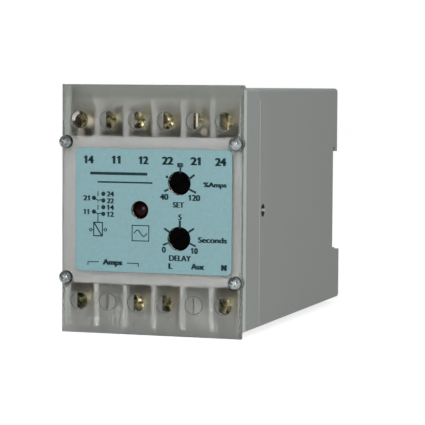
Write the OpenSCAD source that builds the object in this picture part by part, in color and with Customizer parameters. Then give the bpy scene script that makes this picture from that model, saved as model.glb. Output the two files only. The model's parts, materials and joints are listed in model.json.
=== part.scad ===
// Rail-mounted static relay: moulded case, frosted front cover with twelve terminal
// windows, two slotted adjusters, a lamp, and the boards and parts that it holds inside.
// The drawing frame of the modules has its origin on the cover's face, at the middle of
// the case's width and height: +X right, +Y into the case, +Z up.

/* [Case] */
// Width of the case
case_w = 60.2; // [60:0.1:66]
// Height of the case
case_h = 75; // [75:0.5:90]
// Depth from the cover's face to the upper back
case_d = 112.3; // [108:0.1:130]
// How far the clip block stands behind the upper back
block_step = 3.7; // [3:0.1:6]
// Side, top and bottom walls of the rear case
case_wall = 2; // [1.6:0.1:2.4]
// Back wall of the rear case
back_wall = 2.4; // [1.8:0.1:3]
// Side walls of the front housing
front_wall = 2.4; // [2.2:0.1:2.5]
// Top and bottom walls of the front housing
end_wall = 1.2; // [1:0.1:1.6]
// How far those end walls stand back behind the cover
end_setback = 1.5; // [1:0.1:1.8]
// Thickness of the front housing's web round the terminal board
web_t = 2.5; // [2:0.1:3]
// Radius of the long outer edges
edge_r = 1.2; // [0.6:0.1:1.8]
// Depth from the cover's face to the seam between the two case halves
seam_y = 15.8; // [15:0.1:17]
// Chamfer along the rear case's front edge, on its sides
seam_chamfer = 1; // [0.4:0.1:1.2]
// Length of the front housing's tongue inside the rear case
tongue_l = 6.7; // [6:0.1:8]
// Wall of the tongue
tongue_t = 1.2; // [1:0.1:1.4]
// Clearance round the tongue
tongue_gap = 0.1; // [0.05:0.05:0.2]
// Diameter of the latch hole in each side
latch_hole_d = 4.1; // [3.5:0.1:5]
// Diameter of the latch nub in that hole
latch_nub_d = 2.2; // [1.6:0.1:2.8]
// Distance of the latch behind the seam
latch_y = 4.3; // [3.8:0.1:4.6]

/* [Rail slot] */
// Width of the mounting rail
rail_w = 35; // [35:0.5:36]
// Play of the rail in the slot
rail_play = 0.8; // [0.5:0.1:1.2]
// Depth of the slot below the upper back
slot_depth = 5.5; // [5:0.1:6.5]
// Height of the slot's middle against the middle of the case
slot_mid_z = -1.2; // [-2:0.1:0]
// Height of the fixed hook's lip
hook_lip = 1.5; // [1:0.1:2]
// Gap behind the hook's lip and the clip's nose, from the slot's floor
hook_gap = 3.2; // [3:0.1:3.6]
// Height of the pads that the rail bears on
pad_h = 2.1; // [1.6:0.1:2.3]
// Length of the pads along the rail
pad_l = 44; // [30:1:50]
// Width of each pad across the rail
pad_w = 3.4; // [2.5:0.1:4]
// Step of the clip block below the slot's front ledge
ledge_step = 0.9; // [0.5:0.1:1.5]

/* [Rail clip] */
// Width of the sliding clip
clip_w = 15.4; // [13:0.1:18]
// Thickness of the sliding clip
clip_t = 3.9; // [3.7:0.1:4.1]
// Clearance round the clip in its channel
clip_gap = 0.15; // [0.1:0.05:0.25]
// How far the clip's nose stands above the slot's front ledge
nose_h = 1.3; // [1:0.1:1.8]
// Travel of the clip from holding to released
clip_travel = 2.5; // [2:0.1:3]
// Distance of the clip's foot above the underside
foot_rise = 0.7; // [0.4:0.1:1]
// Width of the window in the clip
clip_window_w = 5; // [4.6:0.1:6]
// Height of the window in the clip
clip_window_h = 9; // [8.5:0.1:10]
// Height of the window's lower edge above the underside
clip_window_z = 4.5; // [4.2:0.1:5]
// Thickness of the fixed bridge that carries the spring
bridge_t = 1.6; // [1.2:0.1:2]
// Gap between the bridge and the window's lower edge
bridge_gap = 0.4; // [0.3:0.1:0.6]
// Outer diameter of the clip's spring
spring_d = 3.6; // [3:0.1:3.7]
// Wire diameter of the clip's spring
spring_wire = 0.5; // [0.4:0.05:0.6]
// Turns of the clip's spring
spring_turns = 5; // [4:1:6]
// Height of the screwdriver slot in the clip's foot
eye_h = 1.5; // [1.2:0.1:1.8]
// Width of the screwdriver slot in the clip's foot
eye_w = 5; // [4:0.1:7]

/* [Cover] */
// Thickness of the cover
cover_t = 2; // [1.8:0.1:2.4]
// Width of the case's rim that shows beside the cover on the right
rim_right = 0.95; // [0.5:0.05:1.2]
// Width of the case's rim that shows beside the cover on the left
rim_left = 0.15; // [0.05:0.05:0.4]
// Diameter of the round lug of the cover about each of its screws
lug_d = 4.6; // [4.4:0.1:5]
// How far the cover stands above the case
cover_over = 1.1; // [0.5:0.1:2]
// How far the cover stands below the case
cover_under = 1.9; // [0.5:0.1:3]
// Chamfer round the cover's face
cover_chamfer = 0.4; // [0.2:0.1:0.7]
// Depth of the lips that the cover hooks over the case with, above and below
lip_d = 2.2; // [1.5:0.1:2.6]
// Gap between those lips and the case
lip_gap = 0.1; // [0.05:0.05:0.2]
// Distance of the lower lip's ends from the cover's sides
lip_inset = 0.6; // [0.4:0.1:1]
// Height of the front layout's middle against the middle of the case
layout_z = -0.7; // [-1:0.1:0]
// Shift of the terminals to the right of the case's middle
layout_x = 0.1; // [-0.15:0.05:0.15]
// Shift of the cover's windows to the left of the terminals
window_shift = 0.4; // [0:0.1:0.6]
// Diameter of the terminal windows' discs
disc_d = 5.3; // [5:0.1:5.8]
// Skin left in front of each disc
disc_skin = 0.6; // [0.6:0.1:1.2]
// Width of the slit in each disc
slit_w = 0.75; // [0.4:0.05:0.8]
// Length of the slit in each disc
slit_l = 5; // [4.4:0.1:5]
// Left edge of an opened window, from the disc's middle
flap_edge = 0.8; // [0.6:0.1:1.2]
// Left edge of the widest opened windows, at the right end of each row
wide_edge = 1.5; // [1:0.1:2]
// Right end of the broken slit in the torn disc, from the disc's middle
tear_x = 0.4; // [0.3:0.05:0.6]
// Width of the strip that still stands beside that slit
strip_w = 0.7; // [0.5:0.05:0.9]
// Depth of the tear below the disc's middle
tear_low = 1.3; // [1:0.1:1.6]
// Outer diameter of the fine groove round each disc
groove_d = 5.8; // [5.6:0.1:6.2]
// Width of that groove
groove_w = 0.25; // [0.2:0.05:0.4]
// Depth of that groove
groove_depth = 0.3; // [0.2:0.05:0.4]

/* [Cover screws] */
// Distance of the screws' axes from the case's sides
screw_inset = 2.25; // [2.15:0.05:2.6]
// Shift of the screws to the left of the middle
screw_shift = 0.4; // [0:0.1:0.5]
// Distance between the screws up the front
screw_span_z = 42.6; // [42:0.1:43]
// Diameter of a cover screw's head
head_d = 4.1; // [3.8:0.1:4.3]
// Height of a cover screw's head
head_h = 2.8; // [2.4:0.1:3.2]
// Height of the straight rim of that head
head_rim = 1.5; // [0.8:0.1:1.8]
// Shank diameter of a cover screw
shank_d = 2.5; // [2.2:0.1:2.7]
// Shank length of a cover screw
shank_l = 11.5; // [10:0.1:12]
// Clearance on the diameter of the hole in the cover
cover_hole_gap = 0.4; // [0.3:0.1:0.6]
// Clearance on the diameter of the hole in the boss
boss_hole_gap = 0.1; // [0.05:0.05:0.2]
// Diameter of the screw bosses
boss_d = 4.6; // [4.3:0.1:4.8]
// Width of the cross recess in a cover screw's head
recess_w = 0.6; // [0.5:0.05:0.8]
// Length of that recess
recess_l = 2.4; // [2:0.1:2.8]
// Depth of that recess
recess_depth = 1.5; // [1:0.1:1.8]

/* [Label and panel] */
// Margin between the label and the case's sides
label_margin = 4.4; // [4:0.1:6]
// Height of the label
label_h = 38.5; // [36:0.1:39.5]
// Thickness of the label
label_t = 0.25; // [0.15:0.05:0.3]
// Corner radius of the label
label_r = 1.6; // [1:0.1:2.5]
// Shift of the label to the right of the middle
label_x = 0.5; // [0:0.1:0.8]
// Rise of the label above the layout's middle
label_rise = 0.15; // [0:0.05:0.4]
// Height of the front housing's centre panel
panel_h = 46.1; // [45:0.1:46.5]
// Thickness of the centre panel
panel_t = 2; // [1.5:0.1:2.5]
// Thickness of the shelves above and below the centre panel
shelf_t = 1.6; // [1.2:0.1:2]
// Depth of the shelves behind the cover
shelf_d = 10.8; // [10.4:0.1:11.1]

/* [Adjusters and lamp] */
// Place of the adjusters to the right of the middle
knob_x = 9.1; // [8:0.1:10]
// Distance between the two adjusters
knob_span = 17.2; // [16.5:0.1:18]
// Height of the adjusters' and the lamp's middle above the layout's middle
knob_lift = 0.4; // [0:0.1:0.8]
// Diameter of an adjuster's knob
knob_d = 7.1; // [6.5:0.1:7.2]
// Clearance round a knob in its hole
knob_gap = 0.2; // [0.2:0.05:0.4]
// Depth of a knob's face below the cover's face
knob_sink = 0.5; // [0.3:0.1:1.1]
// Height of a knob
knob_h = 4.5; // [3.9:0.1:4.7]
// Chamfer round a knob's face
knob_chamfer = 0.35; // [0.2:0.05:0.5]
// Width of the screwdriver slot in a knob
knob_slot_w = 1.1; // [0.8:0.1:1.4]
// Depth of the screwdriver slot in a knob
knob_slot_depth = 1.2; // [0.8:0.1:1.5]
// Turn of the knobs' slots from upright, clockwise
knob_turn = 55; // [0:1:90]
// Diameter of a knob's stem
stem_d = 3; // [2.5:0.1:3.5]
// Running clearance on the stem's radius
stem_gap = 0.05; // [0.03:0.01:0.1]
// Width of a trimmer
trimmer_w = 9.6; // [9:0.1:10.5]
// Depth of a trimmer
trimmer_t = 4.8; // [4.4:0.1:5.2]
// Collar diameter of a trimmer
collar_d = 5; // [4.6:0.1:6]
// Collar height of a trimmer
collar_h = 0.7; // [0.4:0.1:0.8]
// Place of the lamp to the left of the middle
lamp_x = 3.8; // [3.5:0.1:4.5]
// Diameter of the lamp
lamp_d = 5.5; // [5:0.1:5.6]
// Height of the lamp's domed end
lamp_dome = 1.2; // [0.8:0.1:2]
// Clearance on the diameter of the lamp's hole
lamp_gap = 0.2; // [0.2:0.1:0.8]
// Depth of the lamp's tip below the cover's face
lamp_sink = 0.2; // [0:0.1:0.6]
// Length of the lamp's moulded body
lamp_l = 8.7; // [8.4:0.1:9]
// Diameter of the lamp's base flange
lamp_flange_d = 6.2; // [6:0.1:6.4]
// Thickness of the lamp's base flange
lamp_flange_t = 1; // [0.8:0.1:1.2]
// Distance between the lamp's two leads
lead_span = 2.54; // [2.4:0.02:2.6]
// Thickness of the lamp's leads
lead_t = 0.5; // [0.4:0.05:0.6]

/* [Terminals] */
// Distance between the upper and the lower row
row_span = 56.9; // [56.5:0.1:57.3]
// Drop of the rows' middle below the layout's middle
row_drop = 0.25; // [0:0.05:0.4]
// Thickness of the ribs between the terminals
rib_t = 1.6; // [1.4:0.1:1.7]
// Slope at the outer end of each rib
rib_slope = 2; // [1:0.1:2.4]
// Clearance round a terminal block in the housing
block_gap = 0.1; // [0.05:0.05:0.15]
// Floor thickness of a terminal block
floor_t = 2; // [1.6:0.1:2.2]
// Depth of a terminal screw's head behind the cover's face
tscrew_y = 3.6; // [3.3:0.1:3.8]
// Head diameter of a terminal screw
tscrew_head_d = 6; // [5.6:0.1:6.4]
// Head height of a terminal screw
tscrew_head_h = 2.4; // [2.2:0.1:2.6]
// Width of the slots in a terminal screw's head
tscrew_slot_w = 1; // [0.8:0.1:1.2]
// Depth of the slots in a terminal screw's head
tscrew_slot_depth = 1.3; // [1:0.1:1.6]
// Shank diameter of a terminal screw
tscrew_d = 3.4; // [3:0.1:3.6]
// Shank length of a terminal screw
tscrew_l = 8; // [7.6:0.1:8.2]
// Running clearance on the terminal screw's radius
tscrew_gap = 0.05; // [0.03:0.01:0.1]
// Travel of a terminal screw and its clamp from open to tight
clamp_travel = 2.4; // [2:0.1:2.5]
// Gap on each side of a clamp plate in its bay
clamp_side = 0.45; // [0.4:0.05:0.6]
// Thickness of a clamp plate
clamp_t = 1.2; // [1:0.1:1.3]
// Clearance between a clamp plate and the screw's head, and the bar when tight
clamp_gap = 0.1; // [0.05:0.05:0.15]
// Gap on each side of a terminal bar in its bay
bar_side = 0.45; // [0.35:0.05:0.7]
// Height of a terminal bar
bar_h = 8; // [7.6:0.1:8.4]
// Thickness of a terminal bar
bar_t = 1.2; // [1:0.1:1.3]
// Width of a terminal bar's tail
tail_w = 2.5; // [2:0.1:3]
// Clearance round a tail in the block's floor and the board
tail_gap = 0.1; // [0.05:0.05:0.2]
// How far a tail stands out behind the terminal board
tail_out = 1.9; // [1:0.1:2.2]
// Ledge on each side of a wire entry in its bay
entry_side = 0.2; // [0.15:0.05:0.3]
// Distance of a wire entry's rear end behind the cover's face
entry_end = 11; // [10.6:0.1:11.2]

/* [Boards] */
// Thickness of the circuit boards
board_t = 1.6; // [1.2:0.1:1.7]
// Distance of the adjuster board behind the cover's face
adjuster_board_y = 11; // [10.7:0.1:11.1]
// Distance of the adjuster board's sides from the front housing's walls
board_side = 3.7; // [3:0.1:5]
// Distance of the adjuster board's ends from the shelves
board_end = 0.9; // [0.5:0.1:2]
// Diameter of the posts that carry the adjuster board
post_d = 4.4; // [4:0.1:5]
// Diameter of the pins on those posts
pin_d = 2; // [1.6:0.1:2.2]
// Length of the pins behind the posts
pin_l = 2.6; // [2.2:0.1:3]
// Distance of the posts' axes from the adjuster board's sides
post_inset_x = 3; // [2.5:0.1:4]
// Distance of the posts' axes from the adjuster board's ends
post_inset_z = 4; // [2.5:0.1:5]
// Clearance round the pins and leads in the boards
hole_gap = 0.1; // [0.05:0.05:0.15]
// Distance of the terminal board behind the seam
terminal_board_y = 2.2; // [2:0.1:2.4]
// Clearance round the terminal board in the tongue
board_gap = 0.3; // [0.2:0.1:0.5]
// Distance of the side boards from the middle
side_board_x = 18.2; // [17.8:0.1:18.6]
// Clearance of a board in its guides
guide_gap = 0.1; // [0.05:0.05:0.2]
// Height of the guide ribs
guide_h = 1.8; // [1.4:0.1:2.2]
// Thickness of the guide ribs
guide_t = 1; // [0.8:0.1:1.2]
// Length of the link header
header_l = 15.2; // [10:0.1:20]
// Thickness of the link header
header_t = 2.5; // [2:0.1:3]
// Diameter of the standoffs behind the terminal blocks
standoff_d = 3; // [2.6:0.1:3.4]

/* [Parts on the side boards] */
// Gap between the transformer's core and the case's back wall
transformer_back = 7.9; // [3:0.1:12]
// Height of the transformer's core
core_h = 30; // [28:0.5:34]
// Length of the transformer's core
core_l = 25; // [23:0.5:28]
// Thickness of the transformer's core
core_t = 12.5; // [11:0.5:14]
// Width of the core's outer legs and of its windows
core_leg = 5; // [4:0.5:6]
// Thickness of the winding over and under the core
winding_t = 4.8; // [4:0.1:5.5]
// Clearance of the winding in the core's windows
winding_gap = 0.15; // [0.1:0.05:0.3]
// Length of the output relay
relay_l = 29; // [27:0.5:31]
// Width of the output relay
relay_w = 12.8; // [12:0.1:14]
// Height of the output relay above its board
relay_h = 15.8; // [14:0.1:18]
// Place of the output relay along its board
relay_y = 43; // [41:0.5:46]
// Height of the output relay's middle
relay_z = 16; // [14:0.5:20]
// Diameter of the smoothing capacitor
capacitor_d = 10; // [8:0.5:13]
// Height of the smoothing capacitor above its board
capacitor_h = 16; // [12:0.5:20]
// Place of the smoothing capacitor along its board
capacitor_y = 38; // [34:0.5:42]
// Height of the smoothing capacitor's middle
capacitor_z = -8; // [-10:0.5:-6]
// Length of the rectifier
rectifier_l = 15; // [12:0.5:17]
// Thickness of the rectifier
rectifier_t = 4.5; // [4:0.5:6]
// Height of the rectifier above its board
rectifier_h = 11; // [9:0.5:13]
// Height of the current transformer above its board
ct_h = 12; // [10:0.5:13]
// Side of the current transformer
ct_w = 24; // [20:0.5:26]
// Diameter of the current transformer's hole
ct_hole_d = 8; // [6:0.5:10]
// Place of the current transformer along its board
ct_y = 82; // [78:0.5:86]
// Length of a chip
chip_l = 19; // [18:0.1:20]
// Width of a chip's body
chip_w = 6.4; // [6:0.1:7]
// Height of a chip above its board
chip_h = 4; // [3.6:0.1:4.5]
// Place of the chips along their board
chip_y = 46; // [42:0.5:50]
// Height of the upper chip's middle
chip_z = 14; // [12:0.5:18]
// Distance between the two chips
chip_span = 28; // [20:0.5:30]

/* [Hidden] */
$fn = 64;
eps = 0.01;
half_w = case_w / 2;
half_h = case_h / 2;
inner_w = case_w - 2 * case_wall;
front_inner_w = case_w - 2 * front_wall;
pitch = (front_inner_w + rib_t) / 6;
bay_w = pitch - rib_t;
clamp_w = bay_w - 2 * clamp_side;
bar_w = bay_w - 2 * bar_side;
entry_w = bay_w - 2 * entry_side;
screw_span_x = case_w - 2 * screw_inset;
label_w = case_w - 2 * label_margin;
adjuster_board_w = front_inner_w - 2 * board_side;
adjuster_board_h = panel_h - 2 * shelf_t - 2 * board_end;
post_span_x = adjuster_board_w - 2 * post_inset_x;
post_span_z = adjuster_board_h - 2 * post_inset_z;
front_inner_h = case_h - 2 * end_wall;
rear_inner_h = case_h - 2 * case_wall;
slot_floor_y = case_d - slot_depth;
hook_y = slot_floor_y + hook_gap;
block_y = case_d + block_step;
cavity_y = slot_floor_y - back_wall;
slot_low_z = slot_mid_z - (rail_w + rail_play) / 2;
slot_top_z = slot_mid_z + (rail_w + rail_play) / 2;
block_top_z = slot_low_z - ledge_step;
clip_y = hook_y + clip_gap;
channel_w = clip_w + 2 * clip_gap;
channel_y = clip_y + clip_t + clip_gap;
clip_foot_z = -half_h + foot_rise;
clip_nose_z = slot_low_z + nose_h;
window_low_z = -half_h + clip_window_z;
window_top_z = window_low_z + clip_window_h;
bridge_low_z = window_low_z + bridge_gap;
bridge_top_z = bridge_low_z + bridge_t;
spring_y = clip_y + clip_t / 2;
tongue_w = inner_w - 2 * tongue_gap;
tongue_h = rear_inner_h - 2 * tongue_gap;
tongue_y = seam_y + tongue_l;
step_y = seam_y - web_t;
latch_z = layout_z;
shelf_y = cover_t + shelf_d;
panel_top_z = layout_z + panel_h / 2;
panel_low_z = layout_z - panel_h / 2;
panel_y = cover_t + panel_t;
knob_z = layout_z + knob_lift;
knob_hole_d = knob_d + 2 * knob_gap;
knob_base_y = knob_sink + knob_h;
lamp_hole_d = lamp_d + lamp_gap;
lamp_base_y = lamp_sink + lamp_l;
trimmer_y = adjuster_board_y - trimmer_t;
stem_end_y = trimmer_y + trimmer_t * 0.6;
tscrew_seat_y = tscrew_y + tscrew_head_h;
clamp_y = tscrew_seat_y + clamp_gap;
bar_y = clamp_y + clamp_t + clamp_travel + clamp_gap;
floor_y = bar_y + bar_t;
floor_back_y = floor_y + floor_t;
board_y = seam_y + terminal_board_y;
board_back_y = board_y + board_t;
boss_l = shank_l + 0.4;
side_board_front_y = board_back_y;
transformer_y = cavity_y - transformer_back - core_l / 2;
side_board_back_y = cavity_y - 1;
guide_front_y = tongue_y + 0.5;
columns = [for (i = [0:5]) (i - 2.5) * pitch + layout_x];
ribs = [for (i = [0:4]) (i - 2) * pitch + layout_x];
upper_edges = [disc_d / 2, flap_edge, flap_edge, flap_edge, 0, wide_edge];
lower_edges = [flap_edge, 0, flap_edge, flap_edge, 0, wide_edge];
upper_torn = 4;
front_y = head_h - (head_h + block_y) / 2;
mid_z = half_h + cover_under;

// Height of a terminal row: 1 for the upper row, -1 for the lower one.
function row_z(row) = layout_z - row_drop + row * row_span / 2;

// Corner points of an upright rectangle with rounded corners, as flats.
function round_points(w, h, r, flats = 6) = [
    for (q = [0:3])
        for (k = [0:flats])
            let (turn = 90 * (q + k / flats),
                sx = (q == 0 || q == 3) ? 1 : -1,
                sz = (q < 2) ? 1 : -1)
            [sx * (w / 2 - r) + r * cos(turn), sz * (h / 2 - r) + r * sin(turn)]
];

// Moves the drawing frame to the part's own: origin under the middle of its box.
module placed() {
    translate([0, front_y, mid_z]) children();
}

// Upright box between two corners.
module box(low, high) {
    translate(low) cube(high - low);
}

// Round bar along Y.
module rod(x, z, d, y0, y1) {
    translate([x, y0, z]) rotate([-90, 0, 0]) cylinder(d = d, h = y1 - y0);
}

// Rounded rectangle extruded along Y, centred on the case's middle.
module slab(w, h, r, y0, y1) {
    translate([0, y1, 0]) rotate([90, 0, 0])
        linear_extrude(y1 - y0) polygon(round_points(w, h, r));
}

// Places children at the four cover screws.
module at_cover_screws() {
    for (sx = [-1, 1]) for (sz = [-1, 1])
        translate([sx * screw_span_x / 2 - screw_shift, 0, layout_z + sz * screw_span_z / 2]) children();
}

// Holes for the two knobs and the lamp through a front layer.
module control_holes(y0, y1) {
    for (side = [-1, 1])
        rod(knob_x, knob_z + side * knob_span / 2, knob_hole_d, y0, y1);
    rod(-lamp_x, knob_z, lamp_hole_d, y0, y1);
}

// One terminal window's disc cut: a groove round a thin skin with a slit. The skin is
// pressed out from its right side up to the given distance left of its middle, 0 for none.
module disc_cut(edge) {
    difference() {
        rod(0, 0, groove_d, -eps, groove_depth);
        rod(0, 0, groove_d - 2 * groove_w, -2 * eps, groove_depth + eps);
    }
    rod(0, 0, disc_d, disc_skin, cover_t + eps);
    box([-slit_w / 2, -eps, -slit_l / 2], [slit_w / 2, cover_t, slit_l / 2]);
    if (edge > 0)
        intersection() {
            rod(0, 0, disc_d, -eps, cover_t);
            box([-edge, -1, -disc_d], [disc_d, cover_t, disc_d]);
        }
}

// Torn disc: its slit is broken wide, and a strip stands between it and a hole in the right half.
module torn_disc_cut() {
    hole_x = tear_x + strip_w;
    box([-tear_x, -eps, -tear_low], [tear_x, cover_t, slit_l / 2]);
    intersection() {
        rod(0, 0, disc_d, -eps, cover_t);
        union() {
            box([hole_x, -eps, -tear_low / 2], [disc_d, cover_t, disc_d]);
            box([-tear_x, -eps, -disc_d], [tear_x, cover_t, -tear_low - strip_w]);
        }
    }
}

// Lip along the cover's back above the case's top; reach is the cover's height above the case.
module cover_lip(left, right, reach) {
    translate([left, 0, half_h]) rotate([90, 0, 90]) linear_extrude(right - left)
        polygon([[cover_t - eps, lip_gap], [cover_t - eps, reach], [cover_t + lip_d / 3, reach],
            [cover_t + lip_d, 2 * lip_gap], [cover_t + lip_d, lip_gap]]);
}

// Frosted plate over the whole front, with a round lug about each screw.
module front_cover() {
    top = half_h + cover_over;
    low = -half_h - cover_under;
    left = rim_left - half_w;
    right = half_w - rim_right;
    edge = cover_chamfer * sqrt(2);
    color([0.80, 0.83, 0.82, 0.5]) placed() difference() {
        union() {
            difference() {
                box([left, 0, low], [right, cover_t, top]);
                for (x = [left, right])
                    translate([x, 0, 0]) rotate([0, 0, 45]) cube([edge, edge, case_h * 2], center = true);
                for (z = [low, top])
                    translate([0, 0, z]) rotate([45, 0, 0]) cube([case_w * 2, edge, edge], center = true);
            }
            intersection() {
                at_cover_screws() rod(0, 0, lug_d, 0, cover_t);
                box([-half_w, 0, low], [half_w, cover_t, top]);
            }
            cover_lip(left, right, cover_over);
            mirror([0, 0, 1]) cover_lip(left + lip_inset, right - lip_inset, cover_under);
        }
        at_cover_screws() rod(0, 0, shank_d + cover_hole_gap, -eps, cover_t + eps);
        control_holes(-eps, cover_t + eps);
        translate([-window_shift, 0, 0]) {
            for (i = [0:5]) {
                translate([columns[i], 0, row_z(1)]) disc_cut(upper_edges[i]);
                translate([columns[i], 0, row_z(-1)]) disc_cut(lower_edges[i]);
            }
            translate([columns[upper_torn], 0, row_z(1)]) torn_disc_cut();
        }
    }
}

// Printed sheet stuck on the cover.
module label() {
    color([0.56, 0.72, 0.74]) placed() difference() {
        translate([label_x, 0, layout_z + label_rise]) slab(label_w, label_h, label_r, -label_t, 0);
        control_holes(-label_t - eps, eps);
    }
}

// Cross recess in a screw head, from the head's front face.
module cross_recess(w, l, depth) {
    for (turn = [0, 90])
        rotate([0, turn, 0]) box([-l / 2, -eps, -w / 2], [l / 2, depth, w / 2]);
}

// Domed screw with its head's front at y = 0 and its shank along +Y.
module domed_screw(d_head, h_head, rim, d_shank, l_shank, slot_w, slot_l, slot_depth) {
    dome_h = h_head - rim;
    ball_r = (pow(d_head / 2, 2) + pow(dome_h, 2)) / (2 * dome_h);
    difference() {
        union() {
            intersection() {
                translate([0, ball_r, 0]) sphere(ball_r);
                rod(0, 0, d_head, -eps, dome_h);
            }
            rod(0, 0, d_head, dome_h, h_head);
            rod(0, 0, d_shank, h_head, h_head + l_shank);
        }
        cross_recess(slot_w, slot_l, slot_depth);
    }
}

// The four screws that hold the cover, one solid each.
module cover_screws() {
    color([0.75, 0.77, 0.78]) placed() at_cover_screws()
        translate([0, -head_h, 0]) rotate([0, 35, 0])
            domed_screw(head_d, head_h, head_rim, shank_d, shank_l, recess_w, recess_l, recess_depth);
}

// Front half of the case: outer frame, centre panel with its shelves, and tongue.
module front_housing() {
    panel_x = front_inner_w / 2 + eps;
    color([0.66, 0.68, 0.66]) placed() difference() {
        union() {
            difference() {
                slab(case_w, case_h, edge_r, cover_t, seam_y);
                box([-front_inner_w / 2, 0, -front_inner_h / 2],
                    [front_inner_w / 2, step_y, front_inner_h / 2]);
                box([-front_inner_w / 2, 0, -case_h], [front_inner_w / 2, cover_t + end_setback, case_h]);
                box([-tongue_w / 2 + tongue_t, 0, -tongue_h / 2 + tongue_t],
                    [tongue_w / 2 - tongue_t, seam_y + eps, tongue_h / 2 - tongue_t]);
            }
            difference() {
                box([-tongue_w / 2, step_y + 1, -tongue_h / 2],
                    [tongue_w / 2, tongue_y, tongue_h / 2]);
                box([-tongue_w / 2 + tongue_t, step_y, -tongue_h / 2 + tongue_t],
                    [tongue_w / 2 - tongue_t, tongue_y + eps, tongue_h / 2 - tongue_t]);
            }
            box([-panel_x, cover_t, panel_low_z], [panel_x, panel_y, panel_top_z]);
            box([-panel_x, cover_t, panel_top_z - shelf_t], [panel_x, shelf_y, panel_top_z]);
            box([-panel_x, cover_t, panel_low_z], [panel_x, shelf_y, panel_low_z + shelf_t]);
            intersection() {
                at_cover_screws() rod(0, 0, boss_d, cover_t, cover_t + boss_l);
                box([-half_w, 0, -half_h], [half_w, seam_y, half_h]);
            }
            for (sx = [-1, 1]) for (sz = [-1, 1])
                translate([sx * post_span_x / 2, 0, layout_z + sz * post_span_z / 2]) {
                    rod(0, 0, post_d, cover_t, adjuster_board_y);
                    rod(0, 0, pin_d, cover_t, adjuster_board_y + pin_l);
                }
            for (sx = [-1, 1])
                translate([sx * (tongue_w / 2 - tongue_t / 2), seam_y + latch_y, latch_z])
                    rotate([0, sx * 90, 0]) cylinder(d = latch_nub_d, h = tongue_t / 2 + 1.2);
        }
        at_cover_screws() rod(0, 0, shank_d + boss_hole_gap, 0, cover_t + shank_l);
        control_holes(0, panel_y + eps);
        for (x = columns) for (sz = [-1, 1])
            translate([x, 0, sz * half_h])
                box([-entry_w / 2, 0, -2 * end_wall], [entry_w / 2, entry_end, 2 * end_wall]);
    }
}

// Comb-shaped carrier of one row of terminals, drawn for the upper row (row = 1) or
// the lower row (row = -1).
module terminal_block(row) {
    inner = (row > 0 ? panel_top_z : -panel_low_z) + block_gap;
    outer = front_inner_h / 2 - block_gap;
    half = front_inner_w / 2 - block_gap;
    zs = row * row_z(row);
    corner = screw_span_x / 2 - boss_d / 2 - block_gap;
    corner_z = row * layout_z + screw_span_z / 2 + boss_d / 2 + block_gap;
    scale_row = row > 0 ? [0, 0, 0] : [0, 0, 1];
    placed() mirror(scale_row) difference() {
        union() {
            box([-half, floor_y, inner], [half, floor_back_y, outer]);
            for (x = ribs)
                translate([x, 0, 0]) difference() {
                    box([-rib_t / 2, cover_t, inner], [rib_t / 2, floor_y + eps, outer]);
                    translate([0, cover_t, outer]) rotate([45, 0, 0])
                        cube([2 * rib_t, rib_slope * sqrt(2), rib_slope * sqrt(2)], center = true);
                }
            for (x = ribs)
                rod(x, zs, standoff_d, floor_back_y - eps, board_y);
        }
        for (x = columns) {
            rod(x, zs, tscrew_d + 1, floor_y - eps, floor_back_y + eps);
            translate([x, 0, zs - bar_h / 2 + bar_t / 2])
                box([-tail_w / 2 - tail_gap, floor_y - eps, -bar_t / 2 - tail_gap],
                    [tail_w / 2 + tail_gap, floor_back_y + eps, bar_t / 2 + tail_gap]);
        }
        for (sx = [-1, 1])
            translate([sx * corner - screw_shift, 0, 0])
                box([sx > 0 ? 0 : -half_w, 0, inner - 1], [sx > 0 ? half_w : 0, seam_y, corner_z]);
    }
}

module upper_terminal_block() {
    color([0.60, 0.62, 0.60]) terminal_block(1);
}

module lower_terminal_block() {
    color([0.60, 0.62, 0.60]) terminal_block(-1);
}

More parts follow.
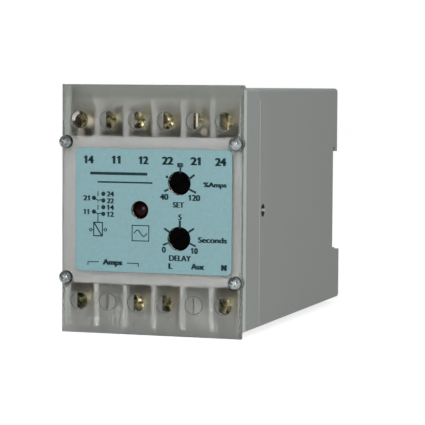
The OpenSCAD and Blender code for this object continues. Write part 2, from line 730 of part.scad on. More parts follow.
// Rear half of the case: open to the front, with the rail slot and the clip's channel.
module rear_case() {
    pocket_x = channel_w / 2 + case_wall;
    color([0.55, 0.57, 0.55]) placed() union() {
        difference() {
            slab(case_w, case_h, edge_r, seam_y, block_y);
            box([-half_w - 1, case_d, block_top_z], [half_w + 1, block_y + 1, half_h + 1]);
            box([-half_w - 1, slot_floor_y, slot_low_z], [half_w + 1, block_y, slot_top_z - hook_lip]);
            box([-half_w - 1, slot_floor_y, slot_low_z], [half_w + 1, hook_y, slot_top_z]);
            box([-half_w - 1, hook_y, block_top_z], [half_w + 1, block_y, slot_mid_z]);
            box([-inner_w / 2, 0, -rear_inner_h / 2], [inner_w / 2, cavity_y, rear_inner_h / 2]);
            box([-inner_w / 2, cavity_y - eps, slot_top_z + case_wall],
                [inner_w / 2, case_d - back_wall, rear_inner_h / 2]);
            for (sx = [-1, 1])
                mirror([sx < 0 ? 1 : 0, 0, 0])
                    box([pocket_x, cavity_y - eps, -rear_inner_h / 2],
                        [inner_w / 2, block_y - back_wall, block_top_z - case_wall]);
            box([-channel_w / 2, hook_y, -half_h - 1], [channel_w / 2, channel_y, block_top_z + 1]);
            for (sx = [-1, 1])
                translate([sx * (inner_w / 2 - 1), seam_y + latch_y, latch_z])
                    rotate([0, sx * 90, 0]) cylinder(d = latch_hole_d, h = case_wall + 2);
            for (sx = [-1, 1])
                translate([sx * half_w, seam_y, -edge_r]) rotate([0, 0, 45])
                    cube([seam_chamfer * sqrt(2), seam_chamfer * sqrt(2), case_h - 2 * edge_r - 2],
                        center = true);
        }
        for (z = [slot_low_z + 0.8, slot_top_z - hook_lip - pad_w - 0.2])
            box([-pad_l / 2, slot_floor_y - eps, z], [pad_l / 2, slot_floor_y + pad_h, z + pad_w]);
        box([-clip_window_w / 2 + 0.4, hook_y - eps, bridge_low_z],
            [clip_window_w / 2 - 0.4, channel_y + eps, bridge_top_z]);
        for (side = [-1, 1]) for (x = [side_board_x - guide_gap - guide_t, side_board_x + board_t + guide_gap])
            for (sz = [-1, 1])
                translate([side * (x + guide_t / 2), 0, sz * (rear_inner_h / 2 - guide_h / 2 + eps)])
                    box([-guide_t / 2, guide_front_y, -guide_h / 2],
                        [guide_t / 2, cavity_y + eps, guide_h / 2]);
    }
}

// Sprung slider that grips the rail's lower lip.
module rail_clip() {
    color([0.20, 0.21, 0.22]) placed() difference() {
        box([-clip_w / 2, clip_y, clip_foot_z], [clip_w / 2, clip_y + clip_t, clip_nose_z]);
        translate([0, clip_y + 1, clip_nose_z]) rotate([-40, 0, 0])
            box([-clip_w, 0, 0], [clip_w, 3 * clip_t, 3 * clip_t]);
        box([-clip_window_w / 2, clip_y - 1, window_low_z],
            [clip_window_w / 2, clip_y + clip_t + 1, window_top_z]);
        box([-eye_w / 2, clip_y - 1, clip_foot_z + 0.8],
            [eye_w / 2, clip_y + clip_t + 1, clip_foot_z + 0.8 + eye_h]);
    }
}

// Points of a wire's ring round a helix, for the clip's spring.
function coil_ring(r, wire_r, turn, rise, sides) = [
    for (k = [0:sides - 1])
        let (a = 360 * k / sides)
        [(r + wire_r * cos(a)) * cos(turn), (r + wire_r * cos(a)) * sin(turn), rise + wire_r * sin(a)]
];

// Compression spring between the bridge and the clip's window.
module clip_spring() {
    sides = 8;
    steps = 14 * spring_turns;
    wire_r = spring_wire / 2;
    r = spring_d / 2 - wire_r;
    low = bridge_top_z + wire_r + 0.05;
    high = window_top_z - wire_r - 0.05;
    points = [
        for (i = [0:steps])
            each coil_ring(r, wire_r, 360 * spring_turns * i / steps,
                low + (high - low) * i / steps, sides)
    ];
    walls = [
        for (i = [0:steps - 1]) for (k = [0:sides - 1])
            let (n = (k + 1) % sides)
            [i * sides + k, (i + 1) * sides + k, (i + 1) * sides + n, i * sides + n]
    ];
    first_end = [[for (k = [0:sides - 1]) k]];
    last_end = [[for (k = [sides - 1:-1:0]) steps * sides + k]];
    color([0.6, 0.6, 0.62]) placed() translate([0, spring_y, 0])
        polyhedron(points = points, faces = concat(walls, first_end, last_end), convexity = 8);
}

// Slotted knob with a stem that turns in its trimmer; z is its height in the layout.
module knob(z) {
    color([0.05, 0.05, 0.05]) placed() translate([knob_x, 0, z]) difference() {
        union() {
            translate([0, knob_sink, 0]) rotate([-90, 0, 0])
                cylinder(d1 = knob_d - 2 * knob_chamfer, d2 = knob_d, h = knob_chamfer);
            rod(0, 0, knob_d, knob_sink + knob_chamfer, knob_base_y);
            rod(0, 0, stem_d, knob_base_y - eps, stem_end_y);
        }
        rotate([0, knob_turn, 0])
            box([-knob_slot_w / 2, 0, -knob_d], [knob_slot_w / 2, knob_sink + knob_slot_depth, knob_d]);
    }
}

module set_knob() {
    knob(knob_z + knob_span / 2);
}

module delay_knob() {
    knob(knob_z - knob_span / 2);
}

// Adjustable resistor on the adjuster board, with the bore for a knob's stem.
module trimmer(z) {
    color([0.15, 0.30, 0.62]) placed() translate([knob_x, 0, z]) difference() {
        union() {
            box([-trimmer_w / 2, trimmer_y, -trimmer_w / 2], [trimmer_w / 2, adjuster_board_y, trimmer_w / 2]);
            rod(0, 0, collar_d, trimmer_y - collar_h, trimmer_y + eps);
        }
        rod(0, 0, stem_d + 2 * stem_gap, trimmer_y - collar_h - eps, stem_end_y + 0.3);
    }
}

module set_trimmer() {
    trimmer(knob_z + knob_span / 2);
}

module delay_trimmer() {
    trimmer(knob_z - knob_span / 2);
}

// Red lamp with its two leads.
module status_lamp() {
    ball_r = (pow(lamp_d / 2, 2) + pow(lamp_dome, 2)) / (2 * lamp_dome);
    color([0.35, 0.02, 0.03]) placed() translate([-lamp_x, 0, knob_z]) union() {
        intersection() {
            translate([0, lamp_sink + ball_r, 0]) sphere(ball_r);
            rod(0, 0, lamp_d, 0, lamp_sink + ball_r);
        }
        rod(0, 0, lamp_d, lamp_sink + ball_r, lamp_base_y);
        rod(0, 0, lamp_flange_d, lamp_base_y - lamp_flange_t, lamp_base_y);
        for (sx = [-1, 1])
            translate([sx * lead_span / 2, 0, 0])
                box([-lead_t / 2, lamp_base_y - eps, -lead_t / 2],
                    [lead_t / 2, adjuster_board_y + board_t + 1, lead_t / 2]);
    }
}

// Ring that holds the lamp off its board.
module lamp_spacer() {
    color([0.12, 0.12, 0.12]) placed() translate([-lamp_x, 0, knob_z]) difference() {
        rod(0, 0, lamp_flange_d, lamp_base_y, adjuster_board_y);
        for (sx = [-1, 1])
            translate([sx * lead_span / 2, 0, 0])
                box([-lead_t / 2 - hole_gap, 0, -lead_t / 2 - hole_gap],
                    [lead_t / 2 + hole_gap, board_y, lead_t / 2 + hole_gap]);
    }
}

// Board behind the centre panel.
module adjuster_board() {
    back = adjuster_board_y + board_t;
    color([0.10, 0.35, 0.20]) placed() difference() {
        translate([0, 0, layout_z])
            box([-adjuster_board_w / 2, adjuster_board_y, -adjuster_board_h / 2],
                [adjuster_board_w / 2, back, adjuster_board_h / 2]);
        for (sx = [-1, 1]) for (sz = [-1, 1])
            rod(sx * post_span_x / 2, layout_z + sz * post_span_z / 2, pin_d + 2 * hole_gap,
                adjuster_board_y - 1, back + 1);
        for (sx = [-1, 1])
            translate([-lamp_x + sx * lead_span / 2, 0, knob_z])
                box([-lead_t / 2 - hole_gap, adjuster_board_y - 1, -lead_t / 2 - hole_gap],
                    [lead_t / 2 + hole_gap, back + 1, lead_t / 2 + hole_gap]);
    }
}

// Header between the adjuster board and the terminal board.
module link_header() {
    color([0.08, 0.08, 0.08]) placed() translate([-lamp_x, 0, layout_z - adjuster_board_h / 4])
        box([-header_l / 2, adjuster_board_y + board_t, -header_t / 2], [header_l / 2, board_y, header_t / 2]);
}

// Board that the terminal bars are soldered into.
module terminal_board() {
    w = tongue_w - 2 * tongue_t - 2 * board_gap;
    h = tongue_h - 2 * tongue_t - 2 * board_gap;
    color([0.10, 0.35, 0.20]) placed() difference() {
        box([-w / 2, board_y, -h / 2], [w / 2, board_back_y, h / 2]);
        for (row = [-1, 1]) for (x = columns)
            translate([x, 0, row_z(row) - row * (bar_h / 2 - bar_t / 2)])
                box([-tail_w / 2 - tail_gap, board_y - 1, -bar_t / 2 - tail_gap],
                    [tail_w / 2 + tail_gap, board_back_y + 1, bar_t / 2 + tail_gap]);
    }
}

// Board along one side of the case; side is -1 for the left and 1 for the right.
module side_board(side) {
    guided = rear_inner_h - 2 * guide_gap;
    nose = tongue_h - 2 * tongue_t - 2 * board_gap;
    color([0.10, 0.35, 0.20]) placed() mirror([side < 0 ? 1 : 0, 0, 0]) union() {
        box([side_board_x, guide_front_y, -guided / 2], [side_board_x + board_t, side_board_back_y, guided / 2]);
        box([side_board_x, side_board_front_y, -nose / 2], [side_board_x + board_t, guide_front_y + eps, nose / 2]);
    }
}

module power_board() {
    side_board(-1);
}

module sensing_board() {
    side_board(1);
}

// Laminated core of the supply transformer.
module transformer_core() {
    mid_x = -side_board_x + winding_t + core_t / 2;
    window_l = core_l - 2 * core_leg;
    color([0.30, 0.31, 0.33]) placed() translate([mid_x, transformer_y, 0]) difference() {
        box([-core_t / 2, -core_l / 2, -core_h / 2], [core_t / 2, core_l / 2, core_h / 2]);
        for (sz = [-1, 1])
            translate([0, 0, sz * (core_h / 2 - 1.5 * core_leg)])
                box([-core_t, -window_l / 2, -core_leg / 2], [core_t, window_l / 2, core_leg / 2]);
    }
}

// Winding round the core's middle leg, seated on the power board.
module transformer_winding() {
    mid_x = -side_board_x + winding_t + core_t / 2;
    window_l = core_l - 2 * core_leg - 2 * winding_gap;
    leg = core_h - 4 * core_leg;
    color([0.75, 0.62, 0.25]) placed() translate([mid_x, transformer_y, 0]) difference() {
        box([-core_t / 2 - winding_t, -window_l / 2, -leg / 2 - core_leg + winding_gap],
            [core_t / 2 + winding_t, window_l / 2, leg / 2 + core_leg - winding_gap]);
        box([-core_t / 2 - winding_gap, -core_l, -leg / 2 - winding_gap],
            [core_t / 2 + winding_gap, core_l, leg / 2 + winding_gap]);
    }
}

// Sealed output relay on the power board.
module output_relay() {
    color([0.85, 0.85, 0.80]) placed() translate([-side_board_x, relay_y, relay_z])
        box([0, -relay_l / 2, -relay_w / 2], [relay_h, relay_l / 2, relay_w / 2]);
}

// Round capacitor standing on the power board.
module smoothing_capacitor() {
    color([0.10, 0.12, 0.25]) placed() translate([-side_board_x, capacitor_y, capacitor_z])
        rotate([0, 90, 0]) cylinder(d = capacitor_d, h = capacitor_h);
}

// Bridge rectifier standing on the power board.
module rectifier() {
    color([0.10, 0.10, 0.10]) placed()
        translate([-side_board_x, capacitor_y, capacitor_z - capacitor_d - rectifier_t])
            box([0, -rectifier_l / 2, -rectifier_t / 2], [rectifier_h, rectifier_l / 2, rectifier_t / 2]);
}

// Current transformer on the sensing board.
module current_transformer() {
    color([0.12, 0.12, 0.30]) placed() translate([side_board_x, ct_y, layout_z]) difference() {
        box([-ct_h, -ct_w / 2, -ct_w / 2], [0, ct_w / 2, ct_w / 2]);
        translate([-ct_h - 1, 0, 0]) rotate([0, 90, 0]) cylinder(d = ct_hole_d, h = ct_h / 2);
    }
}

// Chip with fourteen legs on the sensing board.
module chip(z) {
    leg_w = 0.5;
    leg_pitch = 2.54;
    color([0.06, 0.06, 0.06]) placed() translate([side_board_x, chip_y, z]) {
        box([-chip_h, -chip_l / 2, -chip_w / 2], [-0.5, chip_l / 2, chip_w / 2]);
        for (k = [-3:3]) for (sz = [-1, 1])
            translate([0, k * leg_pitch, sz * (chip_w / 2)])
                box([-chip_h / 2, -leg_w / 2, -0.3], [0, leg_w / 2, 0.3]);
    }
}

module comparator_chip() {
    chip(chip_z);
}

module timer_chip() {
    chip(chip_z - chip_span);
}

// Places children, drawn round a terminal screw's axis with +Z outwards, at one terminal.
module at_terminal(row, number) {
    placed() translate([columns[number - 1], 0, row_z(row)])
        mirror([0, 0, row > 0 ? 0 : 1]) children();
}

// Terminal bar with the screw's hole and its tail through the board.
module terminal_bar(row, number) {
    color([0.72, 0.60, 0.30]) at_terminal(row, number) difference() {
        union() {
            box([-bar_w / 2, bar_y, -bar_h / 2], [bar_w / 2, bar_y + bar_t, bar_h / 2]);
            box([-tail_w / 2, bar_y, -bar_h / 2], [tail_w / 2, board_back_y + tail_out, -bar_h / 2 + bar_t]);
        }
        rod(0, 0, tscrew_d + 2 * tscrew_gap, bar_y - 1, bar_y + bar_t + 0.5);
    }
}

// Square plate that the terminal screw draws onto the wire.
module clamp_plate(row, number) {
    color([0.70, 0.70, 0.66]) at_terminal(row, number) difference() {
        box([-clamp_w / 2, clamp_y, -clamp_w / 2], [clamp_w / 2, clamp_y + clamp_t, clamp_w / 2]);
        rod(0, 0, tscrew_d + 2 * tscrew_gap, clamp_y - 1, clamp_y + clamp_t + 1);
    }
}

// Terminal screw with a slotted, crossed head.
module terminal_screw(row, number) {
    turn = 35 + 67 * number + 20 * row;
    color([0.62, 0.58, 0.40]) at_terminal(row, number)
        translate([0, tscrew_y, 0]) rotate([0, turn, 0])
            domed_screw(tscrew_head_d, tscrew_head_h, tscrew_head_h / 2, tscrew_d, tscrew_l,
                tscrew_slot_w, tscrew_head_d + 1, tscrew_slot_depth);
}

front_cover();
label();
cover_screws();
front_housing();
upper_terminal_block();
lower_terminal_block();
rear_case();
rail_clip();
clip_spring();
set_knob();
delay_knob();
set_trimmer();
delay_trimmer();
status_lamp();
lamp_spacer();
adjuster_board();
link_header();
terminal_board();
power_board();
sensing_board();
transformer_core();
transformer_winding();
output_relay();
smoothing_capacitor();
rectifier();
current_transformer();
comparator_chip();
timer_chip();
terminal_bar(1, 1);  // upper_bar_1
terminal_bar(1, 2);  // upper_bar_2
terminal_bar(1, 3);  // upper_bar_3
terminal_bar(1, 4);  // upper_bar_4
terminal_bar(1, 5);  // upper_bar_5
terminal_bar(1, 6);  // upper_bar_6
terminal_bar(-1, 1);  // lower_bar_1
terminal_bar(-1, 3);  // lower_bar_3
terminal_bar(-1, 4);  // lower_bar_4
terminal_bar(-1, 6);  // lower_bar_6
clamp_plate(1, 1);  // upper_clamp_1
clamp_plate(1, 2);  // upper_clamp_2
clamp_plate(1, 3);  // upper_clamp_3
clamp_plate(1, 4);  // upper_clamp_4
clamp_plate(1, 5);  // upper_clamp_5
clamp_plate(1, 6);  // upper_clamp_6
clamp_plate(-1, 1);  // lower_clamp_1
clamp_plate(-1, 3);  // lower_clamp_3
clamp_plate(-1, 4);  // lower_clamp_4
clamp_plate(-1, 6);  // lower_clamp_6
terminal_screw(1, 1);  // upper_screw_1
terminal_screw(1, 2);  // upper_screw_2
terminal_screw(1, 3);  // upper_screw_3
terminal_screw(1, 4);  // upper_screw_4
terminal_screw(1, 5);  // upper_screw_5
terminal_screw(1, 6);  // upper_screw_6
terminal_screw(-1, 1);  // lower_screw_1
terminal_screw(-1, 3);  // lower_screw_3
terminal_screw(-1, 4);  // lower_screw_4
terminal_screw(-1, 6);  // lower_screw_6
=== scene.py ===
import json
from math import atan2, cos, degrees, pi, radians, sin

import bpy
from mathutils import Matrix, Vector

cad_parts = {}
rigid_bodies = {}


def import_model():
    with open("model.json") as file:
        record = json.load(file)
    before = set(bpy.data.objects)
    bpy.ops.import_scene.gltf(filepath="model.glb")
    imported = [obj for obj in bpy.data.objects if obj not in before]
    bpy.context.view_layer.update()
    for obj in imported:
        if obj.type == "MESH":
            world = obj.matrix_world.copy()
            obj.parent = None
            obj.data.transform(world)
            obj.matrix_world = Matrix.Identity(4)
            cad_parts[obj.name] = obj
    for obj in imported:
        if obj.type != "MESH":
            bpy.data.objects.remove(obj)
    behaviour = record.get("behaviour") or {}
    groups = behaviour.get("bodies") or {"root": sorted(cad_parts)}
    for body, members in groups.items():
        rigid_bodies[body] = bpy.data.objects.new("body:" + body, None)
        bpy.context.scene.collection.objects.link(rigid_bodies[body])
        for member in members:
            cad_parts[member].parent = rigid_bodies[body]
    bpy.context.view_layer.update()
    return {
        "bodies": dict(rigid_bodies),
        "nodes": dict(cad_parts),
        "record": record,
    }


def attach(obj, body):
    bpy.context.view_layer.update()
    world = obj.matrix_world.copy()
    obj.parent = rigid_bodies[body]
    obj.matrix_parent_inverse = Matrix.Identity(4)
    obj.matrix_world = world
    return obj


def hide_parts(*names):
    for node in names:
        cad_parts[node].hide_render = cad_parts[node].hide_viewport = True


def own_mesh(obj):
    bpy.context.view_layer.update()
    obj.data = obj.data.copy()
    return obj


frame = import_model()
nodes = frame["nodes"]

MM = 0.001
# Places are given in the layout's millimetres: right of the middle, behind the cover's face and
# above the case's middle. These two say where the layout's origin lies in the frame.
COVER_FACE_Y = -56.6
LAYOUT_Z = 39.4
# The middle of the cover's rows of windows, a little under the case's own.
ROWS_MIDDLE = -0.7


def spot(x, y, z):
    """A place of the layout, in the frame's metres."""
    return Vector((x, y + COVER_FACE_Y, z + LAYOUT_Z)) * MM


def depth(y):
    """A depth of the layout, along the frame's Y."""
    return spot(0, y, 0).y


def height(z):
    """A height of the layout, along the frame's Z."""
    return spot(0, 0, z).z


LATCH = spot(0, 20.1, ROWS_MIDDLE)


# ---------------------------------------------------------------- finishes

def new_finish(name, colour, roughness, metallic=0.0, specular=0.5, ior=1.5):
    """A plain surface to start a finish from: its material, node tree, shader and place."""
    finish = bpy.data.materials.new(name)
    finish.use_nodes = True
    tree = finish.node_tree
    shader = tree.nodes["Principled BSDF"]
    shader.inputs["Base Color"].default_value = (*colour, 1)
    shader.inputs["Roughness"].default_value = roughness
    shader.inputs["Metallic"].default_value = metallic
    shader.inputs["Specular IOR Level"].default_value = specular
    shader.inputs["IOR"].default_value = ior
    place = tree.nodes.new("ShaderNodeTexCoord")
    return finish, tree, shader, place


def times(colour, factor):
    """A colour made darker or lighter."""
    return tuple(part * factor for part in colour)


def speckle(tree, place, per_mm, detail=3.0, stretch=(1, 1, 1)):
    """Soft random spots, so many to the millimetre, drawn out along an axis by stretch."""
    spread = tree.nodes.new("ShaderNodeMapping")
    spread.inputs["Scale"].default_value = stretch
    spots = tree.nodes.new("ShaderNodeTexNoise")
    spots.inputs["Scale"].default_value = per_mm / MM
    spots.inputs["Detail"].default_value = detail
    tree.links.new(place.outputs["Object"], spread.inputs["Vector"])
    tree.links.new(spread.outputs["Vector"], spots.inputs["Vector"])
    return spots.outputs["Fac"]


def stripes(tree, place, axis, per_mm, smear=0.0):
    """Straight stripes across an axis, as of stacked sheets or wound wire."""
    bands = tree.nodes.new("ShaderNodeTexWave")
    bands.bands_direction = axis
    bands.inputs["Scale"].default_value = per_mm / MM * pi / 10
    bands.inputs["Distortion"].default_value = smear
    bands.inputs["Detail"].default_value = 1.0
    tree.links.new(place.outputs["Object"], bands.inputs["Vector"])
    return bands.outputs["Fac"]


def ramp_between(tree, value, low, high, start=0.0, end=1.0):
    """A number that runs from start to end while a value runs from low to high."""
    spread = tree.nodes.new("ShaderNodeMapRange")
    spread.inputs["From Min"].default_value = low
    spread.inputs["From Max"].default_value = high
    spread.inputs["To Min"].default_value = start
    spread.inputs["To Max"].default_value = end
    tree.links.new(value, spread.inputs["Value"])
    return spread.outputs["Result"]


def sum_of(tree, kind, first, second=0.0):
    """The number that a kind of sum makes of one or two others."""
    joint = tree.nodes.new("ShaderNodeMath")
    joint.operation = kind
    for value, socket in ((first, joint.inputs[0]), (second, joint.inputs[1])):
        if isinstance(value, float):
            socket.default_value = value
        else:
            tree.links.new(value, socket)
    return joint.outputs["Value"]


def shades(tree, factor, first, second):
    """A colour that runs from the first to the second, each plain or itself a pattern."""
    blend = tree.nodes.new("ShaderNodeMix")
    blend.data_type = "RGBA"
    for colour, socket in ((first, blend.inputs["A"]), (second, blend.inputs["B"])):
        if isinstance(colour, tuple):
            socket.default_value = (*colour, 1)
        else:
            tree.links.new(colour, socket)
    tree.links.new(factor, blend.inputs["Factor"])
    return blend.outputs["Result"]


def axes_of(tree, place):
    """A surface's place, axis by axis."""
    axes = tree.nodes.new("ShaderNodeSeparateXYZ")
    tree.links.new(place.outputs["Object"], axes.inputs["Vector"])
    return axes.outputs


def off_middle(tree, axes):
    """Distance above or below the middle of the rows of windows."""
    return sum_of(tree, "ABSOLUTE", sum_of(tree, "SUBTRACT", axes["Z"], height(ROWS_MIDDLE)))


def tint(tree, shader, factor, dark, light, low=0.35, high=0.65):
    """Colours the surface from dark to light along a pattern."""
    ramp = tree.nodes.new("ShaderNodeValToRGB")
    ramp.color_ramp.elements[0].position = low
    ramp.color_ramp.elements[0].color = (*dark, 1)
    ramp.color_ramp.elements[1].position = high
    ramp.color_ramp.elements[1].color = (*light, 1)
    tree.links.new(factor, ramp.inputs["Fac"])
    tree.links.new(ramp.outputs["Color"], shader.inputs["Base Color"])


def vary_roughness(tree, shader, factor, low, high):
    """Lets the gloss change a little over the surface."""
    tree.links.new(ramp_between(tree, factor, 0.3, 0.7, low, high), shader.inputs["Roughness"])


def relief(tree, shader, factor, depth_mm):
    """Raises the surface along a pattern by a depth in millimetres."""
    bump = tree.nodes.new("ShaderNodeBump")
    bump.inputs["Distance"].default_value = depth_mm * MM
    tree.links.new(factor, bump.inputs["Height"])
    tree.links.new(bump.outputs["Normal"], shader.inputs["Normal"])


def moulded_grain(tree, shader, place):
    """The fine grain that spark erosion leaves in a mould."""
    grain = speckle(tree, place, 3.0, 2)
    vary_roughness(tree, shader, grain, 0.46, 0.6)
    relief(tree, shader, grain, 0.012)


def grey_plastic(name, colour, painted_back_shade=1.0):
    """Moulded light grey plastic, faintly cloudy, and darker towards the back by a factor, which is
    painted shade.
    """
    finish, tree, shader, place = new_finish(name, colour, 0.52, specular=0.35)
    clean = shades(tree, speckle(tree, place, 0.05, 4), times(colour, 0.93), times(colour, 1.06))
    far = ramp_between(tree, axes_of(tree, place)["Y"], depth(16), depth(112))
    # Painted shade: the colour darkens towards the back.
    shaded_to_back = shades(tree, far, clean, times(colour, painted_back_shade))
    tree.links.new(shaded_to_back, shader.inputs["Base Color"])
    moulded_grain(tree, shader, place)
    return finish


def block_plastic():
    """Moulded grey of the bays, painted with light and shade: lighter at the ribs' front edges and
    towards the bays' open ends, dark in random patches deep down by the panel, and darker in the
    upper row than in the lower.
    """
    finish, tree, shader, place = new_finish("terminal block plastic", (0.45, 0.46, 0.44), 0.55,
                                             specular=0.3)
    axes = axes_of(tree, place)
    upper = ramp_between(tree, axes["Z"], height(-5), height(5))
    # Painted light and shade: the upper row is darker than the lower, at the ribs' fronts and at
    # the open ends.
    front_shaded_by_row = shades(tree, upper, (0.46, 0.463, 0.453), (0.375, 0.378, 0.37))
    painted_light_at_ends = shades(tree, upper, (0.58, 0.59, 0.55), (0.42, 0.43, 0.4))
    outwards = ramp_between(tree, off_middle(tree, axes), 24 * MM, 36 * MM)
    patches = sum_of(tree, "MULTIPLY", speckle(tree, place, 0.35, 3), 0.5)
    # Painted shade deep in the bays, in random patches, turning to painted light towards the open
    # ends.
    painted_deep_shade = shades(tree, sum_of(tree, "ADD", outwards, patches), (0.04, 0.04, 0.03), painted_light_at_ends)
    down = ramp_between(tree, axes["Y"], depth(2.3), depth(5.5))
    tree.links.new(shades(tree, down, front_shaded_by_row, painted_deep_shade), shader.inputs["Base Color"])
    moulded_grain(tree, shader, place)
    return finish


# Milky spots round the torn windows: x, z, reach in millimetres, and strength.
MILKY_SPOTS = [
    (-20.6, 26.9, 2.4, 0.5), (-23.8, 23.5, 1.9, 0.45), (17.0, 24.2, 1.7, 0.45),
    (15.2, 30.6, 1.5, 0.25), *((14.6, z, 0.6, 1.4) for z in (29.2, 28.2, 27.2, 26.2)),
]


def frosted_plastic(name, more_milk=0.0):
    """Milky see-through plastic of the cover, darker along its upper edge, which is painted shade.
    """
    colour = (0.955, 0.955, 0.945)
    finish, tree, shader, place = new_finish(name, colour, 0.85, specular=0.2, ior=1.2)
    up = axes_of(tree, place)["Z"]
    cloud = sum_of(tree, "MULTIPLY", speckle(tree, place, 0.06, 3), 0.2)
    shaded_top = sum_of(tree, "ADD", ramp_between(tree, up, height(33.8), height(35.6)), cloud)
    # Painted shade: the colour darkens along the top edge.
    body = shades(tree, shaded_top, colour, (0.76, 0.775, 0.745))
    milk = sum_of(tree, "ADD", ramp_between(tree, up, height(24), height(36), 0.0, 0.04),
                  ramp_between(tree, up, height(-24), height(-36), 0.0, 0.075))
    for x, z, reach, strength in MILKY_SPOTS:
        away_from = tree.nodes.new("ShaderNodeVectorMath")
        away_from.operation = "DISTANCE"
        away_from.inputs[1].default_value = spot(x, 0, z)
        tree.links.new(place.outputs["Object"], away_from.inputs[0])
        fading = ramp_between(tree, away_from.outputs["Value"],
                              0.3 * reach * MM, reach * MM, strength, 0.0)
        patch = sum_of(tree, "MULTIPLY", fading, speckle(tree, place, 1.1, 3))
        milk = sum_of(tree, "ADD", milk, patch)
        body = shades(tree, sum_of(tree, "MULTIPLY", patch, 6.0), body, (1.0, 0.93, 0.78))
    tree.links.new(body, shader.inputs["Base Color"])
    clear = sum_of(tree, "MAXIMUM", sum_of(tree, "SUBTRACT", 1.0 - more_milk, milk))
    tree.links.new(clear, shader.inputs["Transmission Weight"])
    vary_roughness(tree, shader, speckle(tree, place, 4.0, 2), 0.8, 0.9)
    return finish


def shaded_cover_edge():
    """The cover's outer sides, painted darker than its faces as shade."""
    # Painted shade: a darker colour than the cover's faces.
    colour = (0.42, 0.46, 0.43)
    finish, tree, shader, place = new_finish("cover edge", colour, 0.5, specular=0.2, ior=1.25)
    shader.inputs["Transmission Weight"].default_value = 0.5
    tint(tree, shader, speckle(tree, place, 0.8, 3), times(colour, 0.85), times(colour, 1.15))
    relief(tree, shader, speckle(tree, place, 2.0, 2, (1, 0.3, 1)), 0.01)
    return finish


def whitened_plastic():
    """Cover plastic that bending has turned white."""
    colour = (0.95, 0.92, 0.82)
    finish, tree, shader, place = new_finish("whitened cover plastic", colour, 0.4)
    tint(tree, shader, speckle(tree, place, 0.9, 3), times(colour, 0.6), colour)
    return finish


def groove_shade():
    """The thin grooves round the windows, painted darker as shade."""
    # Painted shade: much darker than the cover's plastic.
    colour = (0.27, 0.275, 0.25)
    finish, tree, shader, place = new_finish("groove shade", colour, 0.7, specular=0.2)
    shader.inputs["Transmission Weight"].default_value = 0.4
    tint(tree, shader, speckle(tree, place, 0.9, 3), times(colour, 0.7), times(colour, 1.4))
    return finish


def latch_shade():
    """The latch in the case's side: painted shadow, with a painted highlight in a band across its
    middle.
    """
    dark = (0.04, 0.04, 0.035)
    finish, tree, shader, place = new_finish("latch plastic", dark, 0.5, specular=0.3)
    away = off_middle(tree, axes_of(tree, place))
    # Painted highlight in a band across the middle, painted shadow round it.
    painted_glint = ramp_between(tree, away, 0.25 * MM, 0.55 * MM, 1.0, 0.0)
    tree.links.new(shades(tree, painted_glint, dark, (0.7, 0.66, 0.55)), shader.inputs["Base Color"])
    return finish


def printed_film():
    """Pale blue-green printed film of the label."""
    colour = (0.238, 0.413, 0.44)
    finish, tree, shader, place = new_finish("label film", colour, 0.4, specular=0.3)
    tint(tree, shader, speckle(tree, place, 0.9, 4), times(colour, 0.96), times(colour, 1.03))
    relief(tree, shader, speckle(tree, place, 2.0, 2), 0.002)
    return finish


def printing_ink():
    """Blue-black print."""
    colour = (0.004, 0.017, 0.021)
    finish, tree, shader, place = new_finish("print ink", colour, 0.45, specular=0.2)
    tint(tree, shader, speckle(tree, place, 3.0, 2), colour, times(colour, 2.2))
    return finish


def plated_metal(name, colour, dull, roughness, stain_per_mm=0.8):
    """Plated steel or brass with dull stains and fine scratches."""
    finish, tree, shader, place = new_finish(name, colour, roughness, metallic=1.0)
    stain = speckle(tree, place, stain_per_mm, 4)
    tint(tree, shader, stain, dull, colour, 0.38, 0.6)
    vary_roughness(tree, shader, stain, roughness + 0.1, roughness)
    relief(tree, shader, speckle(tree, place, 5.0, 2, (1, 0.2, 1)), 0.006)
    return finish


def dark_plastic(name, colour, roughness, specular=0.15):
    """Satin moulded plastic in a dark or strong colour."""
    finish, tree, shader, place = new_finish(name, colour, roughness, specular=specular)
    grain = speckle(tree, place, 3.0, 3)
    tint(tree, shader, grain, times(colour, 0.8), times(colour, 1.25))
    vary_roughness(tree, shader, grain, roughness - 0.06, roughness + 0.06)
    relief(tree, shader, grain, 0.006)
    return finish


def lamp_resin():
    """Dark red clear resin of the lamp."""
    colour = (0.009, 0.0012, 0.0015)
    finish, tree, shader, place = new_finish("lamp resin", colour, 0.16, specular=0.08)
    tint(tree, shader, speckle(tree, place, 0.4, 2), times(colour, 0.8), times(colour, 1.2))
    return finish


def board_laminate():
    """Green lacquered glass laminate with its woven fibres showing faintly."""
    colour = (0.03, 0.16, 0.07)
    finish, tree, shader, place = new_finish("board laminate", colour, 0.35, specular=0.45)
    weave = stripes(tree, place, "Z", 1.2, 0.3)
    tint(tree, shader, weave, times(colour, 0.85), times(colour, 1.15), 0.2, 0.8)
    relief(tree, shader, weave, 0.01)
    return finish


def stacked_sheets():
    """Dark varnished edges of the transformer's stacked sheets."""
    finish, tree, shader, place = new_finish("core sheets", (0.09, 0.09, 0.1), 0.45, metallic=0.8)
    edges = stripes(tree, place, "X", 2.0)
    tint(tree, shader, edges, (0.04, 0.04, 0.045), (0.13, 0.13, 0.14), 0.2, 0.8)
    relief(tree, shader, edges, 0.05)
    return finish


def wound_wire():
    """Enamelled wire under clear varnish."""
    finish, tree, shader, place = new_finish("winding", (0.42, 0.2, 0.05), 0.3, specular=0.6)
    turns = stripes(tree, place, "Z", 3.0)
    tint(tree, shader, turns, (0.2, 0.08, 0.02), (0.5, 0.26, 0.08), 0.2, 0.8)
    relief(tree, shader, turns, 0.1)
    return finish
